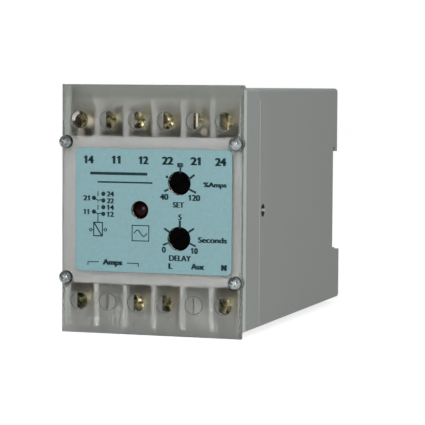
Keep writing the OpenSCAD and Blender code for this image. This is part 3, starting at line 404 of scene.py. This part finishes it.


# The case's grey darkens towards the back: painted shade.
case_grey = grey_plastic("case plastic", (0.365, 0.39, 0.369), painted_back_shade=0.86)
# The housing is a lighter grey than the case: painted light, so that its front-facing rim comes out
# brighter than the case's sides.
housing_grey = grey_plastic("housing plastic", (0.408, 0.434, 0.413))
# A lighter grey for the housing's panel behind the cover: painted light.
panel_painted_light = grey_plastic("panel plastic", (0.505, 0.507, 0.51))
# Lighter greys for the ribs' right sides and the empty bays' floors: painted light, strongest in
# the upper row.
bay_side_painted_light = grey_plastic("bay side plastic", (0.56, 0.565, 0.53))
upper_side_painted_light = grey_plastic("upper bay side plastic", (0.78, 0.785, 0.75))
# A lighter grey for the ribs' ends: painted light.
rib_end_painted_light = grey_plastic("rib end plastic", (0.62, 0.63, 0.61))
# A lighter grey for the seam's rounded edge: painted highlight.
seam_painted_highlight = grey_plastic("seam edge plastic", (0.5, 0.52, 0.5))
# The bays' grey carries painted light and shade.
block_grey = block_plastic()
frosted = frosted_plastic("frosted cover plastic")
thin_disc = frosted_plastic("thin disc plastic", 0.07)
# Near black for the cut edges of the windows' discs: painted shadow.
slit_painted_shadow = dark_plastic("slit edge shadow", (0.022, 0.02, 0.009), 0.6)
# The cover's outer sides: painted shade.
cover_edge_painted_shade = shaded_cover_edge()
whitened = whitened_plastic()
# The latch hole and its nub: painted shadow and painted highlight.
latch_painted_shade = latch_shade()
# The grooves round the windows: painted shade.
groove_painted_shade = groove_shade()
film = printed_film()
ink = printing_ink()
zinc = plated_metal("zinc plating", (0.33, 0.355, 0.355), (0.16, 0.175, 0.175), 0.2, 0.5)
# Lighter zinc for the screws' cross recesses: painted highlight.
recess_painted_glint = plated_metal("bright zinc plating", (0.5, 0.53, 0.53), (0.3, 0.32, 0.32), 0.3, 0.5)
# Dark zinc for the screw heads' sides: painted shade.
head_side_painted_shade = plated_metal("zinc with painted shade on head sides", (0.07, 0.08, 0.08), (0.03, 0.035, 0.035), 0.4, 0.5)
yellow_zinc = plated_metal("yellow zinc plating", (0.42, 0.375, 0.235), (0.06, 0.052, 0.022),
                           0.24, 0.6)
tin = plated_metal("clamp plating", (0.16, 0.155, 0.13), (0.06, 0.057, 0.045), 0.45)
brass = plated_metal("bar brass", (0.3, 0.24, 0.12), (0.12, 0.09, 0.04), 0.42)
spring_wire = plated_metal("spring wire", (0.5, 0.5, 0.52), (0.34, 0.34, 0.36), 0.25, 2.0)
knob_black = dark_plastic("knob plastic", (0.0012, 0.0012, 0.0012), 0.55, 0.01)
clip_black = dark_plastic("clip plastic", (0.018, 0.018, 0.019), 0.5, 0.35)
header_black = dark_plastic("header plastic", (0.012, 0.012, 0.013), 0.45, 0.35)
chip_black = dark_plastic("chip resin", (0.012, 0.012, 0.013), 0.6, 0.3)
trimmer_blue = dark_plastic("trimmer plastic", (0.02, 0.08, 0.3), 0.4, 0.4)
relay_ivory = dark_plastic("relay box plastic", (0.62, 0.6, 0.5), 0.3, 0.5)
sleeve_blue = dark_plastic("sleeve film", (0.015, 0.025, 0.09), 0.25, 0.5)
lamp_red = lamp_resin()
laminate = board_laminate()
core_sheets = stacked_sheets()
winding = wound_wire()

finish_of_slot = {
    "frosted": frosted, "label": film, "zinc": zinc, "housing": housing_grey, "block": block_grey,
    "case": case_grey, "spring_steel": spring_wire, "trimmer_blue": trimmer_blue,
    "lamp_red": lamp_red, "board": laminate, "core_steel": core_sheets, "winding": winding,
    "relay_white": relay_ivory, "sleeve_blue": sleeve_blue, "chip_black": chip_black,
    "bar_brass": brass, "clamp_steel": tin, "screw_steel": yellow_zinc, "black_plastic": clip_black,
}
slot_of_node = {part["node"]: part["material_slot"] for part in frame["record"]["subparts"]}


def finish_for(node):
    """The finish that a named part of the relay gets."""
    if node.endswith("_knob"):
        return knob_black
    if node == "link_header":
        return header_black
    return finish_of_slot[slot_of_node[node]]


def coat(thing, finish):
    """Gives a piece one finish all over."""
    if not thing.material_slots:
        thing.data.materials.append(finish)
    for place in thing.material_slots:
        place.material = finish


for name, part in nodes.items():
    coat(part, finish_for(name))


# ---------------------------------------------------------------- shaping

def pick_only(*things):
    """Selects just these pieces, the last one active."""
    bpy.ops.object.select_all(action="DESELECT")
    for thing in things:
        thing.select_set(True)
    bpy.context.view_layer.objects.active = things[-1]


def pick_corners(piece, keep):
    """In edit mode, selects the corners for which keep(place) holds."""
    bpy.ops.mesh.select_mode(type="VERT")
    bpy.ops.mesh.select_all(action="DESELECT")
    bpy.ops.object.mode_set(mode="OBJECT")
    for corner in piece.data.vertices:
        corner.select = keep(corner.co)
    bpy.ops.object.mode_set(mode="EDIT")


def smooth(piece, angle):
    """Smooth shading over the edges gentler than an angle."""
    pick_only(piece)
    bpy.ops.object.shade_smooth_by_angle(angle=radians(angle))


def settle(piece):
    """Puts the piece's place into its mesh and its object at the origin."""
    pick_only(piece)
    bpy.ops.object.transform_apply(location=True, rotation=True, scale=True)


def round_edges(piece, width_mm, angle=40):
    """Rounds the edges sharper than an angle and keeps the flats flat."""
    pick_only(piece)
    edge = piece.modifiers.new("edge", "BEVEL")
    edge.width = width_mm * MM
    edge.segments = 2
    edge.limit_method = "ANGLE"
    edge.angle_limit = radians(angle)
    bpy.ops.object.modifier_apply(modifier="edge")
    smooth(piece, 38)
    flats = piece.modifiers.new("flats", "WEIGHTED_NORMAL")
    flats.keep_sharp = True
    bpy.ops.object.modifier_apply(modifier="flats")


def softened(node, body, width_mm, angle=40):
    """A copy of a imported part, its edges rounded or at width 0 kept crisp, that stands for it."""
    part = nodes[node]
    piece = part.copy()
    piece.data = part.data.copy()
    piece.name = node + "_moulded"
    bpy.context.scene.collection.objects.link(piece)
    piece.parent = None
    piece.matrix_world = Matrix.Identity(4)
    pick_only(piece)
    bpy.ops.object.mode_set(mode="EDIT")
    bpy.ops.mesh.select_all(action="SELECT")
    bpy.ops.mesh.remove_doubles(threshold=0.002 * MM)
    bpy.ops.mesh.dissolve_limited(angle_limit=radians(0.6))
    bpy.ops.object.mode_set(mode="OBJECT")
    if width_mm:
        round_edges(piece, width_mm, angle)
    else:
        smooth(piece, 25)
    coat(piece, finish_for(node))
    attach(piece, body)
    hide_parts(node)
    return piece


def new_box(middle, sides_mm, turn=0.0):
    """A box with sides of those millimetres, turned about Y, with its place in its mesh."""
    bpy.ops.object.select_all(action="DESELECT")
    bpy.ops.mesh.primitive_cube_add(size=1)
    box = bpy.context.object
    box.matrix_world = (Matrix.Translation(middle) @ Matrix.Rotation(turn, 4, "Y")
                        @ Matrix.Diagonal((*(side * MM for side in sides_mm), 1)))
    settle(box)
    return box


def one_piece(name, parts, finish, rounding_mm=0):
    """Joins shapes into one piece that rides with the case."""
    pick_only(*parts)
    bpy.ops.object.join()
    piece = bpy.context.object
    piece.name = name
    if rounding_mm:
        round_edges(piece, rounding_mm)
    coat(piece, finish)
    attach(piece, "case")


def paint_faces(piece, finish, wanted):
    """Gives the faces for which wanted(middle, facing) holds a finish of their own."""
    piece.data.materials.append(finish)
    for face in piece.data.polygons:
        if wanted(face.center, face.normal):
            face.material_index = len(piece.data.materials) - 1


# Millimetres in the layout.
EMPTY_BAYS = (-14.15, 14.35)
HALF_BAY = 4.4
WINDOW_COLUMNS = (-24.05, -14.55, -5.05, 4.45, 13.95, 23.45)
WINDOW_ROWS = (27.5, -29.4)
RIB_PITCH = 9.5
RIB_MIDDLE = 0.1
RIB_END_SIDES = (1.54, 1.43, 3.5)
# Metres from the middle.
BAY_SIDE = 27.8 * MM
BAY_END = 36.4 * MM
PANEL_EDGE = 22.3 * MM


def off_rows_middle(middle):
    """How far a place is above or below the middle of the rows of windows."""
    return abs(middle.z - height(ROWS_MIDDLE))


def in_bay(middle, facing):
    """Whether a face of the front housing looks into the terminals' bays."""
    return (middle.y > depth(2.2) and facing.y > -0.7 and abs(middle.x) < BAY_SIDE
            and abs(middle.z - height(0)) < BAY_END and off_rows_middle(middle) > PANEL_EDGE)


def on_panel(middle, facing):
    """Whether a face of the front housing lies flat behind the cover."""
    return facing.y < -0.9 and middle.y < depth(2.6) and abs(middle.x) < BAY_SIDE


def in_latch(middle, facing):
    """Whether a face belongs to the latch hole in a side of the case, or to the nub in it."""
    across = Vector((middle.y - LATCH.y, middle.z - LATCH.z)).length
    return across < 2.2 * MM and 27.5 * MM < abs(middle.x) < 29.99 * MM


def on_seam(middle, facing):
    """Whether a face is the rounded front edge of the rear case's sides."""
    return facing.y < -0.5 and abs(facing.x) > 0.5


def at_rib_foot(middle, facing):
    """Whether a face is the rounded lower front edge of a rib."""
    return facing.z < -0.5 and facing.y < -0.5


def on_bay_side(middle, facing):
    """Whether a face of a terminal block is the right side of a rib."""
    return facing.x > 0.9


def on_bay_side_or_floor(middle, facing):
    """Whether a face is the right side of a rib, or the floor of an empty bay."""
    in_empty_bay = any(abs(middle.x - x * MM) < HALF_BAY * MM for x in EMPTY_BAYS)
    return on_bay_side(middle, facing) or facing.y < -0.9 and in_empty_bay


housing = softened("front_housing", "case", 0.2)
# The housing's faces in the bays take the block's painted light and shade.
paint_faces(housing, block_grey, in_bay)
# The panel behind the cover gets the lighter grey: painted light.
paint_faces(housing, panel_painted_light, on_panel)
rear = softened("rear_case", "case", 0.15)
# The latch hole and its nub get painted shadow with a painted highlight.
paint_faces(rear, latch_painted_shade, in_latch)
paint_faces(housing, latch_painted_shade, in_latch)
# The seam's rounded edge gets the lighter grey: painted highlight.
paint_faces(rear, seam_painted_highlight, on_seam)
upper_block = softened("upper_terminal_block", "case", 0.15)
lower_block = softened("lower_terminal_block", "case", 0.15)
# The lower ribs' rounded front edges get the lighter grey: painted light.
paint_faces(lower_block, rib_end_painted_light, at_rib_foot)
# The ribs' right sides, and the empty bays' floors below, get a lighter grey: painted light.
paint_faces(upper_block, upper_side_painted_light, on_bay_side)
paint_faces(lower_block, bay_side_painted_light, on_bay_side_or_floor)
softened("rail_clip", "rail_clip", 0.2)
spring = softened("clip_spring", "case", 0)
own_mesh(spring)

# The rib tips get the lighter grey: painted light.
rib_ends = [spot(RIB_MIDDLE + step * RIB_PITCH, 2.735, -35.7) for step in range(-2, 3)]
one_piece("rib_tips", [new_box(middle, RIB_END_SIDES) for middle in rib_ends],
          rib_end_painted_light, rounding_mm=0.2)

cover = softened("front_cover", "case", 0)
cover_low = min(corner.co.z for corner in cover.data.vertices)
cover_high = max(corner.co.z for corner in cover.data.vertices)
# Along its lower edge only, since the screws' lugs stand out at the sides.
edge_corners = [corner.co.x for corner in cover.data.vertices if corner.co.z < cover_low + MM]
cover_left, cover_right = min(edge_corners), max(edge_corners)


def on_rim(middle, facing):
    """Whether a face of the cover is one of its outer sides."""
    near = 0.3 * MM
    at_side = middle.x < cover_left + near or middle.x > cover_right - near
    at_end = middle.z < cover_low + near or middle.z > cover_high - near
    return abs(facing.y) < 0.3 and (at_side or at_end)


def in_groove(middle, facing):
    """Whether a face of the cover lies in a groove round a window."""
    return (depth(0.02) < middle.y < depth(0.35)
            and PANEL_EDGE < off_rows_middle(middle) < 33 * MM)


def in_window(middle, reach_mm):
    """Whether a place on the cover lies within one of the twelve round windows."""
    return any(Vector((middle.x - spot(x, 0, z).x, middle.z - height(z))).length < reach_mm * MM
               for x in WINDOW_COLUMNS for z in WINDOW_ROWS)


def on_disc(middle, facing):
    """Whether a face is the front of a window's thin disc."""
    return facing.y < -0.9 and middle.y < depth(0.1) and in_window(middle, 2.7)


def at_slit(middle, facing):
    """Whether a face is a cut edge of a window's thin disc."""
    return abs(facing.x) > 0.9 and middle.y < depth(0.5) and in_window(middle, 2.5)


paint_faces(cover, thin_disc, on_disc)
# The cut edges of the windows' discs get near black: painted shadow.
paint_faces(cover, slit_painted_shadow, at_slit)
# The cover's outer sides get a darker colour: painted shade.
paint_faces(cover, cover_edge_painted_shade, on_rim)
# The grooves round the windows get a dark colour: painted shade.
paint_faces(cover, groove_painted_shade, in_groove)

# The cover's back stands a hair off the ribs and the panel, so that light gets in behind it.
pick_only(cover)
bpy.ops.object.mode_set(mode="EDIT")
pick_corners(cover, lambda place: place.y > depth(1.8))
bpy.ops.transform.translate(value=(0, -0.08 * MM, 0))
bpy.ops.object.mode_set(mode="OBJECT")


def bent_flap(name, x, z, radius, width, sunk, first, last):
    """What is left of a window's torn disc: an arc between two angles, bent inwards along the
    hole's wall, with its sizes in millimetres."""
    bpy.ops.object.select_all(action="DESELECT")
    bpy.ops.mesh.primitive_circle_add(vertices=60, radius=radius * MM, fill_type="NOTHING")
    flap = bpy.context.object
    flap.name = name
    bpy.ops.object.mode_set(mode="EDIT")
    pick_corners(flap, lambda place: not first <= degrees(atan2(place.y, place.x)) % 360 <= last)
    bpy.ops.mesh.delete(type="VERT")
    bpy.ops.mesh.select_all(action="SELECT")
    bpy.ops.mesh.extrude_region_move()
    bpy.ops.transform.resize(value=(1 - width / radius,) * 3, center_override=(0, 0, 0))
    bpy.ops.transform.translate(value=(0, 0, -sunk * MM))
    bpy.ops.object.mode_set(mode="OBJECT")
    flap.matrix_world = Matrix.Translation(spot(x, 0.35, z)) @ Matrix.Rotation(pi / 2, 4, "X")
    settle(flap)
    plate = flap.modifiers.new("plate", "SOLIDIFY")
    plate.thickness = 0.3 * MM
    plate.offset = 0
    bpy.ops.object.modifier_apply(modifier="plate")
    smooth(flap, 50)
    coat(flap, whitened)
    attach(flap, "case")


bent_flap("torn_window_flap", WINDOW_COLUMNS[0], WINDOW_ROWS[0],
          radius=2.62, width=0.65, sunk=0.8, first=100, last=190)

cover_heads = softened("cover_screws", "case", 0.12, angle=30)


def head_middles():
    """The middles of the four cover screws, as (x, z)."""
    middles = []
    for side in (-1, 1):
        for row in (-1, 1):
            own = [corner.co for corner in cover_heads.data.vertices
                   if corner.co.x * side > 0 and (corner.co.z - height(ROWS_MIDDLE)) * row > 0]
            middles.append(Vector(((min(c.x for c in own) + max(c.x for c in own)) / 2,
                                   (min(c.z for c in own) + max(c.z for c in own)) / 2)))
    return middles


HEADS = head_middles()


def from_head(middle):
    """How far a place is sideways from the middle of the nearest cover screw."""
    return min((Vector((middle.x, middle.z)) - head).length for head in HEADS)


def on_head_side(middle, facing):
    """Whether a face is the outer side of a cover screw's head."""
    return abs(facing.y) < 0.4 and from_head(middle) > 1.5 * MM


def in_recess(middle, facing):
    """Whether a face belongs to the cross recess of a cover screw."""
    return from_head(middle) < 1.3 * MM and (abs(facing.y) < 0.4 or middle.y > depth(-1.6))


# The screw heads' sides get dark zinc: painted shade.
paint_faces(cover_heads, head_side_painted_shade, on_head_side)
# The cross recesses get lighter zinc: painted highlight.
paint_faces(cover_heads, recess_painted_glint, in_recess)

for body in frame["bodies"]:
    if "_screw_" in body:
        softened(body, body, 0.12, angle=30)


# ---------------------------------------------------------------- print on the label

# Millimetres in the layout: the label's face, and how far the ink stands out of it.
LABEL_Y = -0.255
INK = 0.03


def flat_text(words, x, z, tall, wide, weight):
    """Upright letters on the label, centred on x and z, so many millimetres tall and wide."""
    bpy.ops.object.select_all(action="DESELECT")
    bpy.ops.object.text_add(location=(0, 0, 0))
    text = bpy.context.object
    text.data.body = words
    text.data.size = 1
    text.data.offset = weight
    text.data.extrude = 0.5
    bpy.ops.object.convert(target="MESH")
    text = bpy.context.object
    corners = [v.co for v in text.data.vertices]
    low = Vector((min(c[i] for c in corners) for i in range(3)))
    high = Vector((max(c[i] for c in corners) for i in range(3)))
    size = high - low
    stretch = Matrix.Diagonal((wide / size.x * MM, tall / size.y * MM, INK * MM, 1))
    text.matrix_world = (Matrix.Translation(spot(x, LABEL_Y, z)) @ Matrix.Rotation(pi / 2, 4, "X")
                         @ stretch @ Matrix.Translation(-(low + high) / 2))
    settle(text)
    return text


def stroke(points, width):
    """A printed line of that width through points (x, z), with square ends."""
    bars = []
    for (x0, z0), (x1, z1) in zip(points, points[1:]):
        run = Vector((x1 - x0, z1 - z0))
        bars.append(new_box(spot((x0 + x1) / 2, LABEL_Y, (z0 + z1) / 2),
                            (run.length + width, INK, width), -run.angle_signed(Vector((1, 0)))))
    return bars


def bare_bars(text):
    """Left, right and top edges, in layout millimetres, of the letters that are one bare bar."""
    letter = list(range(len(text.data.vertices)))

    def first(corner):
        while letter[corner] != corner:
            corner = letter[corner]
        return corner

    for edge in text.data.edges:
        one, other = sorted(first(corner) for corner in edge.vertices)
        letter[other] = one
    outlines = {}
    for corner in text.data.vertices:
        place = (corner.co - spot(0, 0, 0)) / MM
        outlines.setdefault(first(corner.index), []).append((place.x, place.z))
    # A letter can come as loose parts one over the other, so each bar is kept once.
    bars = {}
    for outline in outlines.values():
        across, up = zip(*outline)
        if 0 < max(across) - min(across) < 0.3 * (max(up) - min(up)):
            bars[round(min(across), 1)] = (min(across), max(across), max(up))
    return bars.values()


# The flag of a figure one, as parts of its height.
FLAG_WIDTH = 0.13
FLAG_REACH = 0.1
FLAG_DROP = 0.26


def bold_text(words, x, z, tall, wide, spread, weight):
    """Flat print with thicker uprights: copies a little apart, and a flag on each figure one."""
    pieces = []
    for side in (-1, 0, 1) if spread > 0.4 else (-1, 1):
        text = flat_text(words, x + side * spread / 2, z, tall, wide - spread, weight)
        pieces.append(text)
        for left, right, top in bare_bars(text) if "1" in words else ():
            thick = FLAG_WIDTH * tall
            pieces += stroke([((left + right) / 2, top - thick / 2),
                              (left - FLAG_REACH * tall, top - FLAG_DROP * tall)], thick)
    return pieces


def dot(x, z, diameter, hole=0.0):
    """A printed round dot, or a ring where it has a hole."""
    bpy.ops.object.select_all(action="DESELECT")
    bpy.ops.mesh.primitive_circle_add(vertices=32, radius=diameter / 2 * MM,
                                      fill_type="NOTHING" if hole else "NGON")
    disc = bpy.context.object
    bpy.ops.object.mode_set(mode="EDIT")
    bpy.ops.mesh.select_all(action="SELECT")
    if hole:
        bpy.ops.mesh.extrude_region_move()
        bpy.ops.transform.resize(value=(hole / diameter,) * 3)
        bpy.ops.mesh.select_all(action="SELECT")
    bpy.ops.mesh.extrude_region_move(TRANSFORM_OT_translate={"value": (0, 0, INK * MM)})
    bpy.ops.mesh.select_all(action="SELECT")
    bpy.ops.mesh.normals_make_consistent(inside=False)
    bpy.ops.object.mode_set(mode="OBJECT")
    disc.matrix_world = (Matrix.Translation(spot(x, LABEL_Y + INK / 2, z))
                         @ Matrix.Rotation(pi / 2, 4, "X"))
    settle(disc)
    return disc


def print_group(name, parts):
    """Joins printed shapes into one piece of ink on the label."""
    one_piece(name, parts, ink)


print_group("terminal_numbers", [
    *bold_text("14", -20.6, 15.15, 2.45, 3.0, 0.4, 0.02),
    *bold_text("11", -11.48, 15.2, 2.45, 2.6, 0.4, 0.02),
    *bold_text("12", -2.4, 15.2, 2.45, 2.9, 0.4, 0.02),
    *bold_text("22", 5.3, 15.2, 2.45, 3.8, 0.4, 0.02),
    *bold_text("21", 14.4, 15.2, 2.45, 3.4, 0.4, 0.02),
    *bold_text("24", 22.5, 15.1, 2.45, 3.7, 0.4, 0.02),
])
print_group("supply_letters", [
    *bold_text("L", 6.35, -17.4, 1.75, 1.4, 0.45, 0.02),
    *bold_text("Aux", 15.25, -17.35, 1.8, 4.5, 0.4, 0.02),
    *bold_text("N", 23.75, -17.4, 1.8, 1.85, 0.5, 0.02),
])
print_group("input_bracket", [
    *bold_text("Amps", -12.8, -17.1, 2.3, 6.7, 0.36, 0.02),
    *stroke([(-21.0, -17.8), (-21.0, -16.95), (-17.5, -16.85)], 0.3),
    *stroke([(-7.8, -16.95), (-4.2, -17.0), (-4.2, -17.8)], 0.3),
])
print_group("set_scale", [
    *stroke([(9.45, 11.7), (9.45, 12.9)], 0.6),
    *stroke([(12.5, 9.8), (13.8, 10.8)], 0.7),
    *stroke([(12.6, 6.4), (14.35, 5.6)], 0.65),
    *stroke([(4.5, 5.85), (5.3, 6.2)], 0.65),
    dot(5.1, 10.2, 0.9),
    *bold_text("80", 9.4, 13.9, 1.4, 2.1, 0.35, 0.02),
    *bold_text("40", 4.2, 4.0, 1.85, 2.9, 0.3, 0.01),
    *bold_text("120", 14.2, 3.9, 1.85, 3.6, 0.3, 0.01),
    *bold_text("SET", 8.9, 1.6, 1.7, 3.8, 0.27, 0.01),
    *bold_text("%Amps", 20.7, 7.8, 2.0, 7.6, 0.3, 0.015),
])
print_group("delay_scale", [
    *stroke([(9.4, -3.6), (9.4, -5.3)], 0.75),
    *stroke([(4.55, -5.95), (5.8, -6.75)], 0.65),
    *stroke([(12.4, -6.6), (13.7, -5.75)], 0.65),
    *stroke([(4.15, -10.85), (5.2, -10.4)], 0.6),
    *stroke([(12.9, -10.3), (14.3, -10.95)], 0.6),
    *bold_text("5", 9.4, -2.2, 1.75, 1.2, 0.25, 0.01),
    *bold_text("0", 4.2, -12.4, 1.85, 1.35, 0.25, 0.01),
    *bold_text("10", 14.3, -12.5, 1.85, 2.1, 0.3, 0.01),
    *bold_text("DELAY", 9.5, -14.9, 1.75, 7.3, 0.27, 0.01),
    *bold_text("Seconds", 20.0, -9.0, 1.75, 9.5, 0.3, 0.01),
])
print_group("contact_diagram", [
    *bold_text("21", -21.5, 3.1, 1.6, 2.3, 0.3, 0.01),
    *bold_text("24", -13.55, 4.5, 1.6, 2.5, 0.3, 0.01),
    *bold_text("22", -13.55, 2.35, 1.6, 2.5, 0.3, 0.01),
    *bold_text("11", -21.45, -1.2, 1.6, 1.7, 0.3, 0.01),
    *bold_text("14", -13.4, 0.3, 1.6, 2.15, 0.3, 0.01),
    *bold_text("12", -13.4, -1.85, 1.6, 2.15, 0.3, 0.01),
    dot(-19.05, 3.15, 1.4), dot(-15.9, 4.5, 1.4), dot(-15.9, 2.4, 1.4),
    dot(-19.05, -1.15, 1.4), dot(-15.9, 0.3, 1.4), dot(-15.9, -1.8, 1.4),
    *stroke([(-19.05, 3.15), (-17.7, 2.45), (-16.6, 2.6)], 0.32),
    *stroke([(-17.7, 3.9), (-17.7, 5.1)], 0.32),
    *stroke([(-19.05, -1.15), (-17.7, -1.8), (-16.6, -1.6)], 0.32),
    *stroke([(-17.7, -0.35), (-17.7, 0.85)], 0.32),
    *stroke([(-17.7, -1.8), (-17.7, -4.5)], 0.32),
    *stroke([(-17.7, 2.45), (-17.7, 1.7)], 0.2),
    *stroke([(-19.1, -4.5), (-16.2, -4.5), (-16.2, -8.7), (-19.1, -8.7), (-19.1, -4.5)], 0.36),
    *stroke([(-18.9, -4.7), (-16.5, -8.5)], 0.42),
    dot(-20.1, -6.85, 1.1, 0.5), dot(-15.15, -6.75, 1.1, 0.5),
    *stroke([(-19.6, -6.85), (-19.2, -6.85)], 0.2),
    *stroke([(-16.1, -6.75), (-15.65, -6.75)], 0.2),
])
wave = [(-5.6 + 0.35 * step, -7.5 + 0.95 * sin(2 * pi * step / 12)) for step in range(13)]
print_group("plain_marks", [
    *stroke([(-19.9, 10.9), (-1.8, 10.9)], 0.9),
    *stroke([(-17.6, 8.2), (0.1, 8.2)], 0.5),
    *stroke([(-6.3, -5.1), (-0.8, -5.1), (-0.8, -9.9), (-6.3, -9.9), (-6.3, -5.1)], 0.3),
    *stroke(wave, 0.3),
])


# ---------------------------------------------------------------- floor, light and camera

WHITE = (1, 1, 1, 1)
PAPER_GLOW = 0.8
SKY_LIGHT = 0.32
BACKDROP_LIGHT = 1.0


def shows_paper(tree, sideways=None):
    """1 for a ray that shows the white paper: straight, mirrored, or through clear glass, and
    for the last two only as far as the paper reaches sideways."""
    rays = tree.nodes.new("ShaderNodeLightPath").outputs
    mirrored = sum_of(tree, "MULTIPLY", rays["Is Glossy Ray"], rays["Is Reflection Ray"])
    through = sum_of(tree, "MULTIPLY", rays["Is Transmission Ray"], rays["Is Singular Ray"])
    bent = sum_of(tree, "MAXIMUM", mirrored, through)
    if sideways is not None:
        bent = sum_of(tree, "MULTIPLY", bent, sideways)
    shown = sum_of(tree, "MAXIMUM", rays["Is Camera Ray"], bent)
    return sum_of(tree, "MULTIPLY", shown, sum_of(tree, "LESS_THAN", rays["Diffuse Depth"], 0.5))


bpy.ops.object.select_all(action="DESELECT")
bpy.ops.mesh.primitive_plane_add(size=6, location=(0, 0, 0))
floor = bpy.context.object
floor.name = "floor"
paper, tree, shader, _ = new_finish("white paper", (0.6, 0.6, 0.6), 0.9, specular=0.0)
shader.inputs["Emission Color"].default_value = WHITE
glow = sum_of(tree, "MULTIPLY", shows_paper(tree), PAPER_GLOW)
tree.links.new(glow, shader.inputs["Emission Strength"])
coat(floor, paper)

world = bpy.data.worlds.new("studio")
bpy.context.scene.world = world
world.use_nodes = True
tree = world.node_tree
tree.nodes.clear()
choose = tree.nodes.new("ShaderNodeMixShader")
for strength, socket in ((SKY_LIGHT, choose.inputs[1]), (BACKDROP_LIGHT, choose.inputs[2])):
    sky = tree.nodes.new("ShaderNodeBackground")
    sky.inputs["Color"].default_value = WHITE
    sky.inputs["Strength"].default_value = strength
    tree.links.new(sky.outputs["Background"], socket)
heading = tree.nodes.new("ShaderNodeTexCoord")
backdrop_side = tree.nodes.new("ShaderNodeVectorMath")
backdrop_side.operation = "DOT_PRODUCT"
backdrop_side.inputs[1].default_value = (0.6, 0.8, 0)
tree.links.new(heading.outputs["Generated"], backdrop_side.inputs[0])
behind = ramp_between(tree, backdrop_side.outputs["Value"], -0.15, 0.25)
tree.links.new(shows_paper(tree, behind), choose.inputs["Fac"])
end = tree.nodes.new("ShaderNodeOutputWorld")
tree.links.new(choose.outputs["Shader"], end.inputs["Surface"])

# A square soft lamp in front, a little to the right and above.
bpy.ops.object.select_all(action="DESELECT")
bpy.ops.object.light_add(type="AREA", location=(0.25, -1.2, 0.3))
lamp = bpy.context.object
lamp.name = "front lamp"
lamp.data.size = 0.5
lamp.data.energy = 9.6
lamp.rotation_euler = (Vector((0, 0, 0.04)) - lamp.location).to_track_quat("-Z", "Y").to_euler()

# The camera as fitted to the outline: turned round the object to its right, raised, leaned to
# one side, and in millimetres moved sideways, up and away from the layout's origin.
azimuth, rise, lean = radians(17.977), radians(3.681), radians(0.355)
ASIDE, ABOVE, AWAY = 18.906, -0.849, 629.99
SENSOR_WIDTH, FOCUS_PIXELS, PICTURE_PIXELS = 36, 2031.7, 425
back = Vector((sin(azimuth) * cos(rise), -cos(azimuth) * cos(rise), sin(rise)))
right = Vector((cos(azimuth), sin(azimuth), 0))
up = back.cross(right)
eye = spot(0, 0, 0) + (right * ASIDE + up * ABOVE + back * AWAY) * MM
right_leaned = right * cos(lean) + up * sin(lean)
up_leaned = up * cos(lean) - right * sin(lean)
bpy.ops.object.select_all(action="DESELECT")
bpy.ops.object.camera_add(location=eye)
camera = bpy.context.object
camera.matrix_world = Matrix((
    (right_leaned.x, up_leaned.x, back.x, eye.x),
    (right_leaned.y, up_leaned.y, back.y, eye.y),
    (right_leaned.z, up_leaned.z, back.z, eye.z),
    (0, 0, 0, 1)))
camera.data.sensor_width = SENSOR_WIDTH
camera.data.lens = FOCUS_PIXELS * SENSOR_WIDTH / PICTURE_PIXELS
camera.data.clip_start = 0.01
bpy.context.scene.camera = camera
bpy.context.scene.view_settings.view_transform = "Standard"
